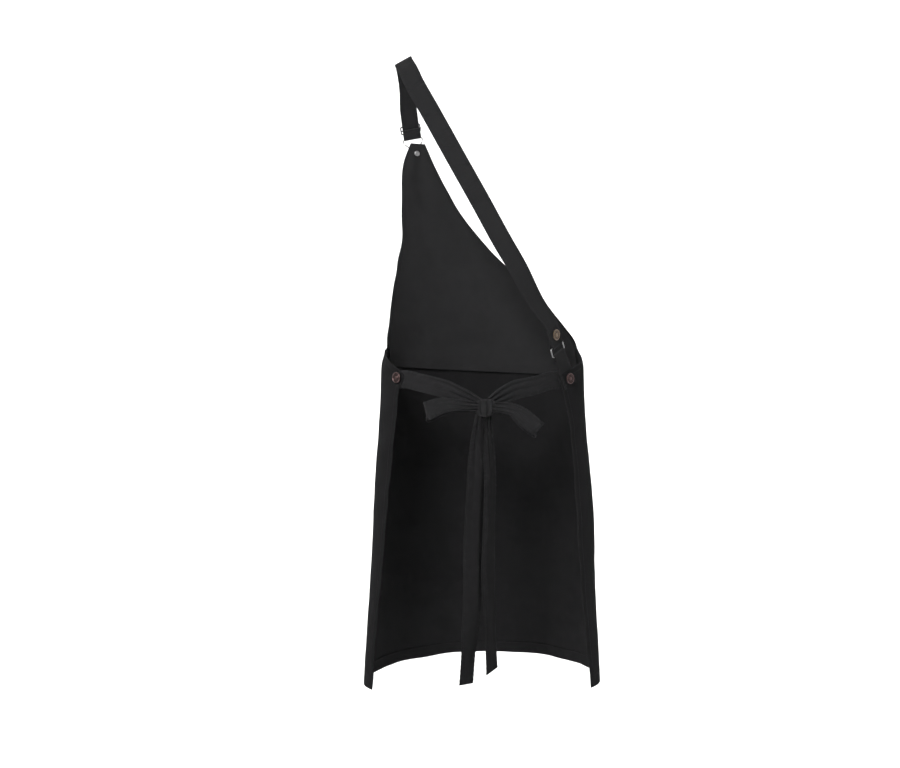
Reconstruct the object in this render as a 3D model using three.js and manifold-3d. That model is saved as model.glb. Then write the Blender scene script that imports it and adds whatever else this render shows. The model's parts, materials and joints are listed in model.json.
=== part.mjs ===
// One-shoulder artist's smock apron, wrapped, buttoned and tied as it is worn.
// Millimetres. +Z is up, +X points to the wearer's right and +Y to the wearer's front.
// The origin is the underside of the strap at the top of the left shoulder.
import * as THREE from 'three';
import { mergeVertices } from 'three/addons/utils/BufferGeometryUtils.js';
import Module from 'manifold-3d';

const wasm = await Module();
wasm.setup();

// ---------------------------------------------------------------- driving dimensions
const clothThickness = 1.0;
const layerGap = 0.8;

const bodyCentreX = 126; // the wearer's middle, measured from the shoulder seat
const hemHeight = -992;
const waistHeight = -460; // the underarm edge, where the sides are narrowest
const tipHeight = -110;
const backDepth = 100; // how far the sides curl behind the wearer's side line
const hemSway = 14; // the hem's front middle hangs this far to the right
const hemRise = 6; // and this much higher than its back corners

const strapWidth = 30;
const tieWidth = 28;
const shoulderSlope = THREE.MathUtils.degToRad(29);
const seatHalfLength = 8; // the flat stretch of strap that rests on the shoulder

const wireRadius = 1.25;
const capRadius = 8.5;
const nailRadius = 1.4;
const holeRadius = 2.0;

const clothMid = clothThickness / 2;
const layerStep = clothThickness + layerGap;

// ---------------------------------------------------------------- materials
function material(colour, roughness, metalness) {
  return new THREE.MeshStandardMaterial({ color: colour, roughness, metalness });
}
const twill = () => material(0x2b2b2c, 0.85, 0);
const blackMetal = () => material(0x1a1a1b, 0.45, 0.7);
const steel = () => material(0xb9bbbd, 0.25, 1);
const agedBrass = () => material(0x6b5238, 0.45, 1);
const agedCopper = () => material(0x6d463c, 0.45, 1);

// ---------------------------------------------------------------- small helpers
const lerp = THREE.MathUtils.lerp;
const clamp = THREE.MathUtils.clamp;
const vec = (x, y, z) => new THREE.Vector3(x, y, z);
const fromMiddle = (x, y, z) => vec(bodyCentreX + x, y, z);

// A smooth value against height, through knots [height, value] in rising order.
function smoothTable(knots) {
  const last = knots.length - 1;
  const rise = (i) => (knots[i + 1][1] - knots[i][1]) / (knots[i + 1][0] - knots[i][0]);
  const slope = knots.map((knot, i) => {
    if (i === 0) return rise(0);
    if (i === last) return rise(last - 1);
    const product = rise(i - 1) * rise(i);
    return product <= 0 ? 0 : (2 * product) / (rise(i - 1) + rise(i));
  });
  return (height) => {
    const h = clamp(height, knots[0][0], knots[last][0]);
    const i = clamp(knots.findIndex((knot) => knot[0] >= h) - 1, 0, last - 1);
    const span = knots[i + 1][0] - knots[i][0];
    const t = (h - knots[i][0]) / span;
    const early = (1 + 2 * t) * (1 - t) ** 2 * knots[i][1] + t * (1 - t) ** 2 * span * slope[i];
    const late = t * t * (3 - 2 * t) * knots[i + 1][1] - t * t * (1 - t) * span * slope[i + 1];
    return early + late;
  };
}

// The geometry with its faces turned outwards.
function facedOut(geometry) {
  const p = geometry.attributes.position;
  const index = geometry.index;
  const corner = (i) => new THREE.Vector3().fromBufferAttribute(p, index.getX(i));
  let volume = 0;
  for (let i = 0; i < index.count; i += 3) {
    volume += corner(i).dot(corner(i + 1).cross(corner(i + 2)));
  }
  for (let i = 0; volume < 0 && i < index.count; i += 3) {
    const second = index.getX(i + 1);
    index.setX(i + 1, index.getX(i + 2));
    index.setX(i + 2, second);
  }
  geometry.computeVertexNormals();
  return geometry;
}

// A thin closed sheet: place(u, v, w) gives the point at u across, v along and w through.
function sheet(across, along, place) {
  const geometry = new THREE.BoxGeometry(1, 1, 1, across, along, 1);
  const p = geometry.attributes.position;
  for (let i = 0; i < p.count; i += 1) {
    const point = place(p.getX(i) + 0.5, p.getY(i) + 0.5, p.getZ(i) + 0.5);
    p.setXYZ(i, point.x, point.y, point.z);
  }
  return facedOut(geometry);
}

function toSolid(geometry) {
  const bare = geometry.clone();
  bare.deleteAttribute('normal');
  bare.deleteAttribute('uv');
  const merged = mergeVertices(bare, 1e-4);
  return new wasm.Manifold(new wasm.Mesh({
    numProp: 3,
    vertProperties: new Float32Array(merged.attributes.position.array),
    triVerts: new Uint32Array(merged.index.array),
  }));
}

function toGeometry(solid) {
  const mesh = solid.getMesh();
  const geometry = new THREE.BufferGeometry();
  geometry.setAttribute('position', new THREE.BufferAttribute(mesh.vertProperties, 3));
  geometry.setIndex(new THREE.BufferAttribute(mesh.triVerts, 1));
  geometry.computeVertexNormals();
  return geometry;
}

// The geometry with a round hole for each fastener's nail.
function pierced(geometry, ...fasteners) {
  const length = 24;
  let solid = toSolid(geometry);
  for (const { at, out } of fasteners) {
    const drill = new THREE.CylinderGeometry(holeRadius, holeRadius, length, 12);
    drill.applyQuaternion(new THREE.Quaternion().setFromUnitVectors(vec(0, 1, 0), out));
    drill.translate(at.x, at.y, at.z);
    solid = solid.subtract(toSolid(drill));
  }
  return toGeometry(solid);
}

// ---------------------------------------------------------------- the wearer's form
// Cloth lies on an upright form, half as wide as halfWidth and as deep as frontDepth.
const halfWidth = smoothTable([[hemHeight, 188], [waistHeight, 161], [-300, 173], [tipHeight, 200]]);
const frontDepth = smoothTable([[hemHeight, 185], [waistHeight, 122], [tipHeight, 107]]);
const belowWaist = (height) => clamp((waistHeight - height) / (waistHeight - hemHeight), 0, 1);

// The form's outward direction at an angle in degrees from its front middle, + to the right.
function outOfBody(angle, height) {
  const a = THREE.MathUtils.degToRad(angle);
  const depth = Math.cos(a) > 0 ? frontDepth(height) : backDepth;
  return vec(depth * Math.sin(a), halfWidth(height) * Math.cos(a), 0).normalize();
}

function onBody(angle, height, offset = 0) {
  const a = THREE.MathUtils.degToRad(angle);
  const depth = Math.cos(a) > 0 ? frontDepth(height) : backDepth;
  const sway = hemSway * belowWaist(height) * Math.cos(a);
  const point = fromMiddle(halfWidth(height) * Math.sin(a) + sway, depth * Math.cos(a), height);
  return point.addScaledVector(outOfBody(angle, height), offset);
}

// The angle round the form of a point near its surface.
function angleOf(point) {
  const depth = point.y > 0 ? frontDepth(point.z) : backDepth;
  const a = Math.atan2((point.x - bodyCentreX) / halfWidth(point.z), point.y / depth);
  return THREE.MathUtils.radToDeg(a);
}

// ---------------------------------------------------------------- ribbons of cloth
// A station is a place on a ribbon's middle line: at, across, width, and hug, the offset from
// the form at which that part of the ribbon lies, or null where it is free.
function station(at, across, width, hug = null) {
  return { at, across: across.clone().normalize(), width, hug };
}

// Stations on a smooth line through knots of the same kind.
function smoothRun(knots, steps) {
  const line = new THREE.CatmullRomCurve3(knots.map((knot) => knot.at), false, 'centripetal');
  const last = knots.length - 1;
  return Array.from({ length: steps + 1 }, (_, step) => {
    const t = (step / steps) * last;
    const i = Math.min(Math.floor(t), last - 1);
    const across = knots[i].across.clone().lerp(knots[i + 1].across, t - i);
    return station(line.getPoint(t / last), across, lerp(knots[i].width, knots[i + 1].width, t - i));
  });
}

// Stations round a bar: the ribbon turns half a circle from the side that start points to.
function hairpin(centre, axis, start, radius, width) {
  const steps = 8;
  return Array.from({ length: steps + 1 }, (_, step) => {
    const spoke = start.clone().applyAxisAngle(axis, (Math.PI * step) / steps);
    return station(centre.clone().addScaledVector(spoke, radius), axis, width);
  });
}

function ribbon(stations, across = 1) {
  const last = stations.length - 1;
  const frames = stations.map(({ at, across: side }, i) => {
    const ahead = stations[Math.min(i + 1, last)].at;
    const behind = stations[Math.max(i - 1, 0)].at;
    const along = ahead.clone().sub(behind).normalize();
    const square = side.clone().addScaledVector(along, -side.dot(along)).normalize();
    return { at, square, out: along.clone().cross(square) };
  });
  return sheet(across, last, (u, v, w) => {
    const i = Math.round(v * last);
    const { width, hug } = stations[i];
    const point = frames[i].at.clone().addScaledVector(frames[i].square, (u - 0.5) * width);
    const through = (w - 0.5) * clothThickness;
    if (hug === null) return point.addScaledVector(frames[i].out, through);
    const angle = angleOf(point);
    const facing = Math.sign(frames[i].out.dot(outOfBody(angle, point.z)));
    return onBody(angle, point.z, hug + facing * through);
  });
}

// ---------------------------------------------------------------- wires
// A closed wire loop in a plane: half an outline on the right, and its mirror on the left.
function wireLoop(half, { origin, right, up }, steps) {
  const points = half.getSpacedPoints(steps);
  const mirrored = points.slice(1, -1).reverse().map((p) => new THREE.Vector2(-p.x, p.y));
  const loop = [...points, ...mirrored].map((p) => (
    origin.clone().addScaledVector(right, p.x).addScaledVector(up, p.y)));
  const line = new THREE.CatmullRomCurve3(loop, true);
  return facedOut(new THREE.TubeGeometry(line, steps * 2, wireRadius, 6, true));
}

// ---------------------------------------------------------------- tack buttons
// A fastener has a place on the cloth's outer face and the direction out of the cloth.
// A lathe profile's second number is the height out of the cloth.
function latheOn(profile, { at, out }, segments) {
  const geometry = new THREE.LatheGeometry(profile.map(([r, h]) => new THREE.Vector2(r, h)), segments);
  geometry.applyQuaternion(new THREE.Quaternion().setFromUnitVectors(vec(0, 1, 0), out));
  geometry.translate(at.x, at.y, at.z);
  return facedOut(geometry);
}

// A dished cap on a hollow shank that leaves the given clear height above the cloth.
function buttonCap(fastener, clearHeight) {
  const shank = 3.5;
  const bore = nailRadius + 0.3;
  const base = 0.4;
  const rim = base + clearHeight;
  const profile = [
    [0, rim + 0.6], [bore, rim + 0.6], [bore, base], [shank, base], [shank, rim],
    [capRadius - 0.5, rim], [capRadius, rim + 0.7], [capRadius - 0.5, rim + 1.5],
    [capRadius - 1.6, rim + 1.8], [capRadius - 2.6, rim + 1.4], [3, rim + 1.7], [0, rim + 1.9],
  ];
  return latheOn(profile, fastener, 20);
}

// The disc behind the cloth, and the nail that goes through the layers into the cap.
function buttonTack(fastener, layersDepth, clearHeight) {
  const discRadius = 4.5;
  const back = -(layersDepth + 0.4);
  const tip = clearHeight + 0.6;
  const profile = [
    [0, back - 0.9], [discRadius - 0.6, back - 0.9], [discRadius, back - 0.4],
    [discRadius, back], [nailRadius, back], [nailRadius, tip], [0, tip],
  ];
  return latheOn(profile, fastener, 16);
}

// ---------------------------------------------------------------- where the fasteners are
const plainClear = 1.4; // cap clear of the cloth
const hookClear = 5.2; // the bib's cap leaves room for the hook under it

function bodyFastener(angle, height) {
  return { at: onBody(angle, height, clothThickness), out: outOfBody(angle, height) };
}
const bibButton = bodyFastener(-34, -127);
const leftButton = bodyFastener(-126.2, -504);
const rightButton = bodyFastener(123.7, -505.5);

// ---------------------------------------------------------------- hook and front strap
// The hook's plane stands off the bib, tilted so that its bar leans with the strap.
const hookTilt = THREE.MathUtils.degToRad(14);
const hookReach = 25.5; // from the button's middle up to the bar
const hookOrigin = bibButton.at.clone().addScaledVector(bibButton.out, 0.4 + hookClear / 2);
const hookRight = vec(0, 0, 1).cross(bibButton.out).negate().applyAxisAngle(bibButton.out, -hookTilt);
const hookUp = bibButton.out.clone().cross(hookRight).negate();
const barCentre = hookOrigin.clone().addScaledVector(hookUp, hookReach);

// The front strap rises straight from the bar before it bends over the shoulder.
const frontLoopRadius = wireRadius + 0.35 + clothMid;
const frontStraight = 50;
const frontUp = vec(-0.1, -0.42, 0.9).normalize();
const frontOut = frontUp.clone().cross(hookRight).normalize();
const frontAcross = frontOut.clone().cross(frontUp);
const sliderRise = 16; // slider's middle above the bar
const sliderBar = 2.2; // thickness of the slider's bars

function onFrontStrap(rise, out) {
  return barCentre.clone().addScaledVector(frontUp, rise).addScaledVector(frontOut, out);
}

// ---------------------------------------------------------------- ring and back strap
// The ring lies between the strap's end and the tab, turned with the wearer's side.
const ringAcross = vec(0.547, 0.694, 0.467).normalize();
const ringDown = vec(0.2885, 0.3676, -0.884).normalize();
const ringOut = ringDown.clone().cross(ringAcross).normalize();
const ringGap = 14; // between the middles of its two long bars
const lowerBar = fromMiddle(117.4, -68, -466.6);
const upperBar = lowerBar.clone().addScaledVector(ringDown, -ringGap);
const ringLoopRadius = wireRadius + 0.75 + clothMid;
const strapButtonRise = 17.4;

function onStrapEnd(rise, out) {
  return upperBar.clone().addScaledVector(ringDown, -rise).addScaledVector(ringOut, out);
}
const strapButton = {
  at: onStrapEnd(strapButtonRise, ringLoopRadius + clothMid),
  out: ringOut,
};

// ---------------------------------------------------------------- cloth pieces
// Where the apron's cut edges run, as angles round the form against height.
const leftEdge = smoothTable([
  [hemHeight, -118.5], [-805, -120.8], [-617, -124.6], [-523, -128], [-502, -132], [-494, -128.5],
  [-484, -121], [-466, -103], [-455, -80], [-426, -72], [-359, -62], [-274, -50],
  [-173, -45], [-140, -41.8], [tipHeight, -37],
]);
const rightEdge = smoothTable([
  [hemHeight, 111.5], [-806, 118], [-617, 121], [-523, 129], [-505, 133], [-498, 130],
  [-485, 114], [-466, 86], [-425, 59.5], [-380, 40.6], [-318, 15.3], [-286, 4.2],
  [-218, -13], [-152, -23.6], [tipHeight, -29],
]);

// A shell wrapped round the form, with its columns at fixed angles so that layers stay apart.
const columnAngle = 7.5;
const wrapAngle = 135;

function wrappedShell(reach, bottom, top, rows, innerOffset) {
  return sheet((2 * reach) / columnAngle, rows, (u, v, w) => {
    const angle = lerp(-reach, reach, u);
    const height = lerp(bottom, top, v);
    const lift = (hemRise * belowWaist(height) * (1 + Math.cos(THREE.MathUtils.degToRad(angle)))) / 2;
    const point = onBody(angle, height, innerOffset + w * clothThickness);
    return point.setZ(point.z + lift);
  });
}

// The shell with everything outside the apron's cut edges taken off.
function cutToShape(shell, inset) {
  const beyond = 150;
  const reach = 9; // how far the cutters stand off the form on each side
  const margin = 20;
  const cutter = (side, edge) => sheet(16, 64, (u, v, w) => {
    const height = lerp(hemHeight - margin, tipHeight + margin, v);
    return onBody(lerp(side * beyond, edge(height) - side * inset, u), height, lerp(-reach, reach, w));
  });
  const solid = toSolid(shell)
    .subtract(toSolid(cutter(-1, leftEdge)))
    .subtract(toSolid(cutter(1, rightEdge)));
  return toGeometry(solid);
}

function bodyPanel() {
  const shell = wrappedShell(wrapAngle, hemHeight, tipHeight, 24, 0);
  return pierced(cutToShape(shell, 0), bibButton, leftButton, rightButton);
}

function bibFacing() {
  const bottom = -493;
  const reach = 67.5; // how far round the sides it goes
  const shell = wrappedShell(reach, bottom, tipHeight - 2, 16, -layerStep);
  return pierced(cutToShape(shell, 1), bibButton);
}

function frontPocket() {
  const reach = 52.5;
  return wrappedShell(reach, -770, -515, 10, layerStep);
}

function shoulderStrap() {
  const seatAcross = vec(Math.cos(shoulderSlope), 0, Math.sin(shoulderSlope));
  const seatLift = vec(-Math.sin(shoulderSlope), 0, Math.cos(shoulderSlope)).multiplyScalar(clothMid);
  const onSeat = (x, y, z) => station(vec(x, y, z).add(seatLift), seatAcross, strapWidth);
  const free = (at, across) => station(at, across, strapWidth);
  const tuckedEnd = free(onFrontStrap(sliderRise - 3, -frontLoopRadius), frontAcross);
  const barTurn = hairpin(
    barCentre, frontAcross.clone().negate(), frontOut.clone().negate(), frontLoopRadius, strapWidth);
  barTurn.forEach((turn) => turn.across.negate());
  const frontRun = [0.35, 0.7, 1].map((part) => (
    free(onFrontStrap(frontStraight * part, frontLoopRadius), frontAcross)));
  const overFront = smoothRun([
    frontRun[2], onSeat(3, 52, -27.5), onSeat(1.5, 30, -8.5), onSeat(0.4, 17, -1.9),
    onSeat(0, seatHalfLength, 0),
  ], 12);
  const downBack = smoothRun([
    onSeat(0, -seatHalfLength, 0), onSeat(0.6, -22, -3.2), onSeat(3.8, -45, -14),
    onSeat(12, -64, -31), onSeat(22, -77, -54), onSeat(48, -90, -102),
    onSeat(88, -103, -176), onSeat(122, -106, -237), onSeat(155, -104, -297),
    free(fromMiddle(54.7, -100, -340), vec(0.82, 0.2, 0.49)),
    free(fromMiddle(79.7, -92, -386.5), vec(0.7, 0.45, 0.48)),
    free(onStrapEnd(32, ringLoopRadius), ringAcross),
    free(onStrapEnd(24, ringLoopRadius), ringAcross),
    free(onStrapEnd(12, ringLoopRadius), ringAcross),
    free(onStrapEnd(0.5, ringLoopRadius), ringAcross),
  ], 48);
  const ringTurn = hairpin(upperBar, ringAcross, ringOut, ringLoopRadius, strapWidth);
  const folded = smoothRun([
    free(onStrapEnd(1, -ringLoopRadius), ringAcross), free(onStrapEnd(6, -0.8), ringAcross),
    free(onStrapEnd(11, ringLoopRadius - layerStep), ringAcross),
    free(onStrapEnd(28, ringLoopRadius - layerStep), ringAcross),
  ], 8);
  const whole = ribbon([
    tuckedEnd, ...barTurn, ...frontRun, ...overFront.slice(1), ...downBack, ...ringTurn, ...folded]);
  return pierced(whole, strapButton);
}

// The tab: from inside the right side's top edge, up round the ring's lower bar and back down.
function ringTab() {
  const tabAcross = vec(0.62, 0.6, 0.5);
  const outerHug = -layerStep + clothMid;
  const innerHug = outerHug - layerStep;
  const beside = (part, offset) => (
    onBody(lerp(angleOf(lowerBar), 123.7, part), lerp(lowerBar.z, -505.5, part), offset));
  const hugging = (part, hug) => station(beside(part, hug), tabAcross, strapWidth, hug);
  const free = (part, offset) => station(beside(part, offset), tabAcross, strapWidth);
  const turn = hairpin(lowerBar, ringAcross.clone().negate(), ringOut, wireRadius + 0.35 + clothMid, strapWidth);
  turn.forEach((spoke) => spoke.across.negate());
  const outer = [hugging(1.3, outerHug), hugging(1.1, outerHug), hugging(0.9, outerHug),
    hugging(0.7, outerHug), hugging(0.55, outerHug), free(0.38, 0.2), free(0.2, 1.6)];
  const inner = [free(0.2, -2.6), free(0.38, -3.2), hugging(0.55, innerHug),
    hugging(0.7, innerHug), hugging(0.9, innerHug), hugging(1.1, innerHug), hugging(1.3, innerHug)];
  return pierced(ribbon([...outer, ...turn, ...inner], 4), rightButton);
}

const knotMiddle = fromMiddle(4.5, -108, -550);
const knotHalf = vec(14.3, 8, 13.5);
const upright = vec(0, 0, 1);

// A tie lies inside the flap behind its button, leaves the flap's edge and runs to the knot.
function waistTie(fastener, side, hug, insideEdge, freeKnots) {
  const angle = angleOf(fastener.at);
  const backward = (degrees) => angle - side * degrees;
  const tieHeight = fastener.at.z - 3;
  const lying = [-13, -6, 0, 4, insideEdge].map((degrees) => station(
    onBody(backward(-degrees), tieHeight, hug), upright, tieWidth, hug));
  const free = smoothRun([
    station(onBody(backward(-insideEdge - 3), tieHeight - 1, hug), upright, tieWidth), ...freeKnots,
  ], 10);
  return pierced(ribbon([...lying, ...free], 4), fastener);
}

function waistTieLeft() {
  return waistTie(leftButton, -1, -layerStep + clothMid, 7, [
    station(fromMiddle(-95, -80, -512), upright, tieWidth),
    station(fromMiddle(-58, -93, -521.6), upright, tieWidth),
    station(fromMiddle(-28, -101, -534), upright, 22),
    station(fromMiddle(-10.6, -104, -542), upright, 15),
  ]);
}

function waistTieRight() {
  return waistTie(rightButton, 1, -3 * layerStep + clothMid, 12, [
    station(fromMiddle(81.3, -84, -516), upright, tieWidth),
    station(fromMiddle(50, -95, -525), upright, 24),
    station(fromMiddle(32, -101, -534), upright, 18),
    station(fromMiddle(19.6, -104, -541), upright, 14),
  ]);
}

// A soft square knot: a ball pressed towards its box.
function bowKnot() {
  const geometry = new THREE.SphereGeometry(1, 20, 12);
  const p = geometry.attributes.position;
  const squareness = 0.62;
  const press = (value) => Math.sign(value) * Math.abs(value) ** squareness;
  for (let i = 0; i < p.count; i += 1) {
    p.setXYZ(i, press(p.getX(i)), press(p.getY(i)), press(p.getZ(i)));
  }
  geometry.scale(knotHalf.x, knotHalf.y, knotHalf.z);
  geometry.translate(knotMiddle.x, knotMiddle.y, knotMiddle.z);
  return facedOut(geometry);
}

// A bow loop goes out from the knot in front, turns at its end and comes back behind.
function bowLoop(knots) {
  const halfGap = 3.2;
  const apart = (knot, sign, part) => ({
    ...knot,
    at: knot.at.clone().add(vec(0, sign * lerp(1.4, halfGap, part), 0)),
  });
  const last = knots.length - 1;
  const front = knots.map((knot, i) => apart(knot, -1, i / last));
  const back = knots.map((knot, i) => apart(knot, 1, i / last)).reverse();
  const end = knots[last];
  const outward = end.at.clone().sub(knots[last - 1].at).normalize();
  const tip = { ...end, at: end.at.clone().addScaledVector(outward, halfGap) };
  return ribbon([...smoothRun(front, 8), tip, ...smoothRun(back, 8)]);
}

function bowLoopLeft() {
  return bowLoop([
    station(fromMiddle(-10.6, -112, -548), upright, 15),
    station(fromMiddle(-41, -116, -545.5), upright, 18),
    station(fromMiddle(-63.8, -117, -547), upright, 25),
    station(fromMiddle(-81, -116, -553.5), vec(-0.2, 0, 1), 28),
  ]);
}

function bowLoopRight() {
  return bowLoop([
    station(fromMiddle(19.6, -112, -548), upright, 16),
    station(fromMiddle(46, -117, -553), vec(0.2, 0, 1), 20),
    station(fromMiddle(62, -118, -564), vec(0.45, 0, 0.9), 26),
    station(fromMiddle(81, -117, -579), vec(0.6, -0.2, 0.8), 24),
  ]);
}

// The tails hang from the knot. Each starts at the height its swing turns about.
const tailTop = knotMiddle.z - knotHalf.z - 1.2;
const tailColumns = 4; // enough that the two faces stay apart where a tail twists

function tieTailLeft() {
  const facing = vec(1, 0.08, 0);
  return ribbon(smoothRun([
    station(fromMiddle(-4.5, -111, tailTop), facing, 13),
    station(fromMiddle(-8, -111.8, -600), vec(1, 0.05, 0), 20),
    station(fromMiddle(-9.3, -112.2, -643), vec(1, 0.12, 0), 27),
    station(fromMiddle(-14.3, -111.4, -755), vec(1, 0.06, 0), tieWidth),
    station(fromMiddle(-15, -111.8, -838), vec(1, 0.2, 0), tieWidth),
    station(fromMiddle(-20.6, -111, -920), vec(1, 0.75, 0), tieWidth),
    station(fromMiddle(-24.3, -111, -966), vec(1, 0.7, 0), tieWidth),
  ], 22), tailColumns);
}

// The right tail leaves the knot flat, and turns nearly edge on as it hangs.
function tieTailRight() {
  const turned = vec(0.53, 0.85, 0);
  return ribbon(smoothRun([
    station(fromMiddle(12.5, -104, tailTop), vec(1, 0, 0), 13),
    station(fromMiddle(15, -104, -590), vec(0.75, 0.6, 0), 18),
    station(fromMiddle(17.3, -104, -614), turned, 22),
    station(fromMiddle(16.8, -104, -673), turned, 27),
    station(fromMiddle(14.5, -104, -755), turned, tieWidth),
    station(fromMiddle(14, -104, -838), turned, tieWidth),
    station(fromMiddle(13.5, -104, -946), turned, tieWidth),
  ], 20), tailColumns);
}

// ---------------------------------------------------------------- metal pieces
// The hook: a bar for the strap, legs that close to a neck, and a small eye for the shank.
function dungareeHook() {
  const barHalf = 15;
  const corner = 2;
  const eye = 5.6;
  const half = new THREE.Path();
  half.moveTo(0, hookReach);
  half.lineTo(barHalf, hookReach);
  half.absarc(barHalf, hookReach - corner, corner, Math.PI / 2, 0, true);
  half.bezierCurveTo(barHalf + corner, hookReach - 9, 5.4, 11, 5.0, 7.2);
  half.bezierCurveTo(4.9, 5, eye, 3.4, eye, 0);
  half.absarc(0, 0, eye, 0, -Math.PI / 2, true);
  return wireLoop(half, { origin: hookOrigin, right: hookRight, up: hookUp }, 30);
}

// The slider: one bar behind the strap, two in front of it, and ends that join them.
function strapSlider() {
  const innerHalf = strapWidth / 2 + 1;
  const spread = 6; // from the middle bar to each outer bar
  const outerOffset = frontLoopRadius + clothMid + 0.4 + sliderBar / 2;
  const block = (width, height, depth, x, y, z) => {
    const geometry = new THREE.BoxGeometry(width, height, depth);
    geometry.translate(x, y, z);
    return toSolid(geometry);
  };
  const endDepth = outerOffset + sliderBar;
  const endX = innerHalf + sliderBar / 2;
  const barLength = 2 * innerHalf + sliderBar;
  const endHeight = 2 * spread + sliderBar;
  const solid = block(barLength, sliderBar, sliderBar, 0, 0, 0)
    .add(block(barLength, sliderBar, sliderBar, 0, spread, outerOffset))
    .add(block(barLength, sliderBar, sliderBar, 0, -spread, outerOffset))
    .add(block(sliderBar, endHeight, endDepth, endX, 0, outerOffset / 2))
    .add(block(sliderBar, endHeight, endDepth, -endX, 0, outerOffset / 2));
  const geometry = toGeometry(solid);
  geometry.applyMatrix4(new THREE.Matrix4().makeBasis(frontAcross, frontUp, frontOut));
  const middle = onFrontStrap(sliderRise, 0);
  geometry.translate(middle.x, middle.y, middle.z);
  return facedOut(geometry);
}

function strapRing() {
  const halfAcross = strapWidth / 2 + 1 + wireRadius;
  const corner = 3;
  const half = new THREE.Path();
  half.moveTo(0, ringGap);
  half.lineTo(halfAcross - corner, ringGap);
  half.absarc(halfAcross - corner, ringGap - corner, corner, Math.PI / 2, 0, true);
  half.lineTo(halfAcross, corner);
  half.absarc(halfAcross - corner, corner, corner, 0, -Math.PI / 2, true);
  half.lineTo(0, 0);
  const up = ringDown.clone().negate();
  return wireLoop(half, { origin: lowerBar, right: ringAcross, up }, 24);
}

// ---------------------------------------------------------------- the assembly
const group = new THREE.Group();

function add(name, geometry, finish) {
  const mesh = new THREE.Mesh(geometry, finish);
  mesh.name = name;
  group.add(mesh);
}

function addButton(name, fastener, layers, clearHeight, finish) {
  const layersDepth = (layers - 1) * layerStep + clothThickness;
  add(`${name}_cap`, buttonCap(fastener, clearHeight), finish);
  add(`${name}_tack`, buttonTack(fastener, layersDepth, clearHeight), steel());
}

add('body_panel', bodyPanel(), twill());
add('bib_facing', bibFacing(), twill());
add('front_pocket', frontPocket(), twill());
add('shoulder_strap', shoulderStrap(), twill());
add('ring_tab', ringTab(), twill());
add('waist_tie_left', waistTieLeft(), twill());
add('waist_tie_right', waistTieRight(), twill());
add('bow_knot', bowKnot(), twill());
add('bow_loop_left', bowLoopLeft(), twill());
add('bow_loop_right', bowLoopRight(), twill());
add('tie_tail_left', tieTailLeft(), twill());
add('tie_tail_right', tieTailRight(), twill());
add('dungaree_hook', dungareeHook(), steel());
add('strap_slider', strapSlider(), blackMetal());
add('strap_ring', strapRing(), steel());
addButton('bib_button', bibButton, 2, hookClear, agedBrass());
addButton('strap_button', strapButton, 2, plainClear, agedBrass());
addButton('left_side_button', leftButton, 2, plainClear, agedCopper());
addButton('right_side_button', rightButton, 4, plainClear, agedCopper());

export default group;
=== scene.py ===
import json
import math
from collections import namedtuple

import bpy
import numpy as np
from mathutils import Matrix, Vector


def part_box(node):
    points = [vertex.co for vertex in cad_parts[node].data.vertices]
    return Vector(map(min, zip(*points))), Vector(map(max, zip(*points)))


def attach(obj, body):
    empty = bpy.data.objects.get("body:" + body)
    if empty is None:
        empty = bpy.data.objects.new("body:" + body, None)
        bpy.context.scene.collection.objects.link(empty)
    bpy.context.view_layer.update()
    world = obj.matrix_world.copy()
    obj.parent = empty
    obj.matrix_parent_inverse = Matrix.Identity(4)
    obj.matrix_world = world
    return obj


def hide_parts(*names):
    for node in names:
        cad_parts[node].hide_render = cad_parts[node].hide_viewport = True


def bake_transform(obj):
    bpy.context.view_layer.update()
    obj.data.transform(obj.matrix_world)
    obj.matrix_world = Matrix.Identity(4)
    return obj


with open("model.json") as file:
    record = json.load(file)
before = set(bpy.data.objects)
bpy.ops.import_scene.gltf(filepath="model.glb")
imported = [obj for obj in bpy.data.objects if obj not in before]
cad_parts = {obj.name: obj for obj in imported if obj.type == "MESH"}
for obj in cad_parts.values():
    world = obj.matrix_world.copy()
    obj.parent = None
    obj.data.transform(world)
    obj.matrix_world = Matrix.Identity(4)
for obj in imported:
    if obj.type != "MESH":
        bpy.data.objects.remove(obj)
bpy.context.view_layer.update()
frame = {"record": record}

JOINTS = {joint["name"]: joint for joint in frame["record"]["behaviour"]["joints"]}

# ------------------------------------------------------------ driving dimensions, in metres
MM = 0.001
CENTRE_X = 126 * MM          # the wearer's middle, from the shoulder seat
HEM_Z = -992 * MM
WAIST_Z = -460 * MM
TIP_Z = -110 * MM
BACK_DEPTH = 100 * MM        # how far the form reaches back from its middle
HEM_SWAY = 14 * MM           # how far the hem's front hangs to the wearer's right, its back left
HEM_RISE = 6 * MM            # how much higher the hem's front hangs than its back
LAYER_STEP = 1.8 * MM        # from one layer of cloth to the next, as in the CAD model
CLOTH_MID = 0.5 * MM         # from the form out to the middle of the panel's cloth
CLOTH = 0.7 * MM             # thickness of one layer of twill as it is seen
HEM_LAYER = CLOTH_MID - CLOTH
FACING_LAYER = CLOTH_MID - LAYER_STEP * 0.75
POCKET_LAYER = CLOTH_MID + LAYER_STEP * 0.62
STRAP_WIDTH = 30 * MM
STRAP_THICK = 1.4 * MM
TIE_WIDTH = 28 * MM
TIE_THICK = 1.0 * MM
WIRE_RADIUS = 1.05 * MM
SIDE_HEM = 10 * MM
BOTTOM_HEM = 20 * MM
STITCH_PITCH = 3.4 * MM
STITCH_LENGTH = 2.5 * MM
STITCH_WIDTH = 0.45 * MM
STITCH_HEIGHT = 0.3 * MM

UP = np.array([0.0, 0.0, 1.0])


# ------------------------------------------------------------ small maths
def vec(*values):
    return np.array(values, float)


def circle(count):
    return np.linspace(0, 2 * math.pi, count, endpoint=False)


def unit(vectors):
    vectors = np.asarray(vectors, float)
    return vectors / np.linalg.norm(vectors, axis=-1, keepdims=True)


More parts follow.
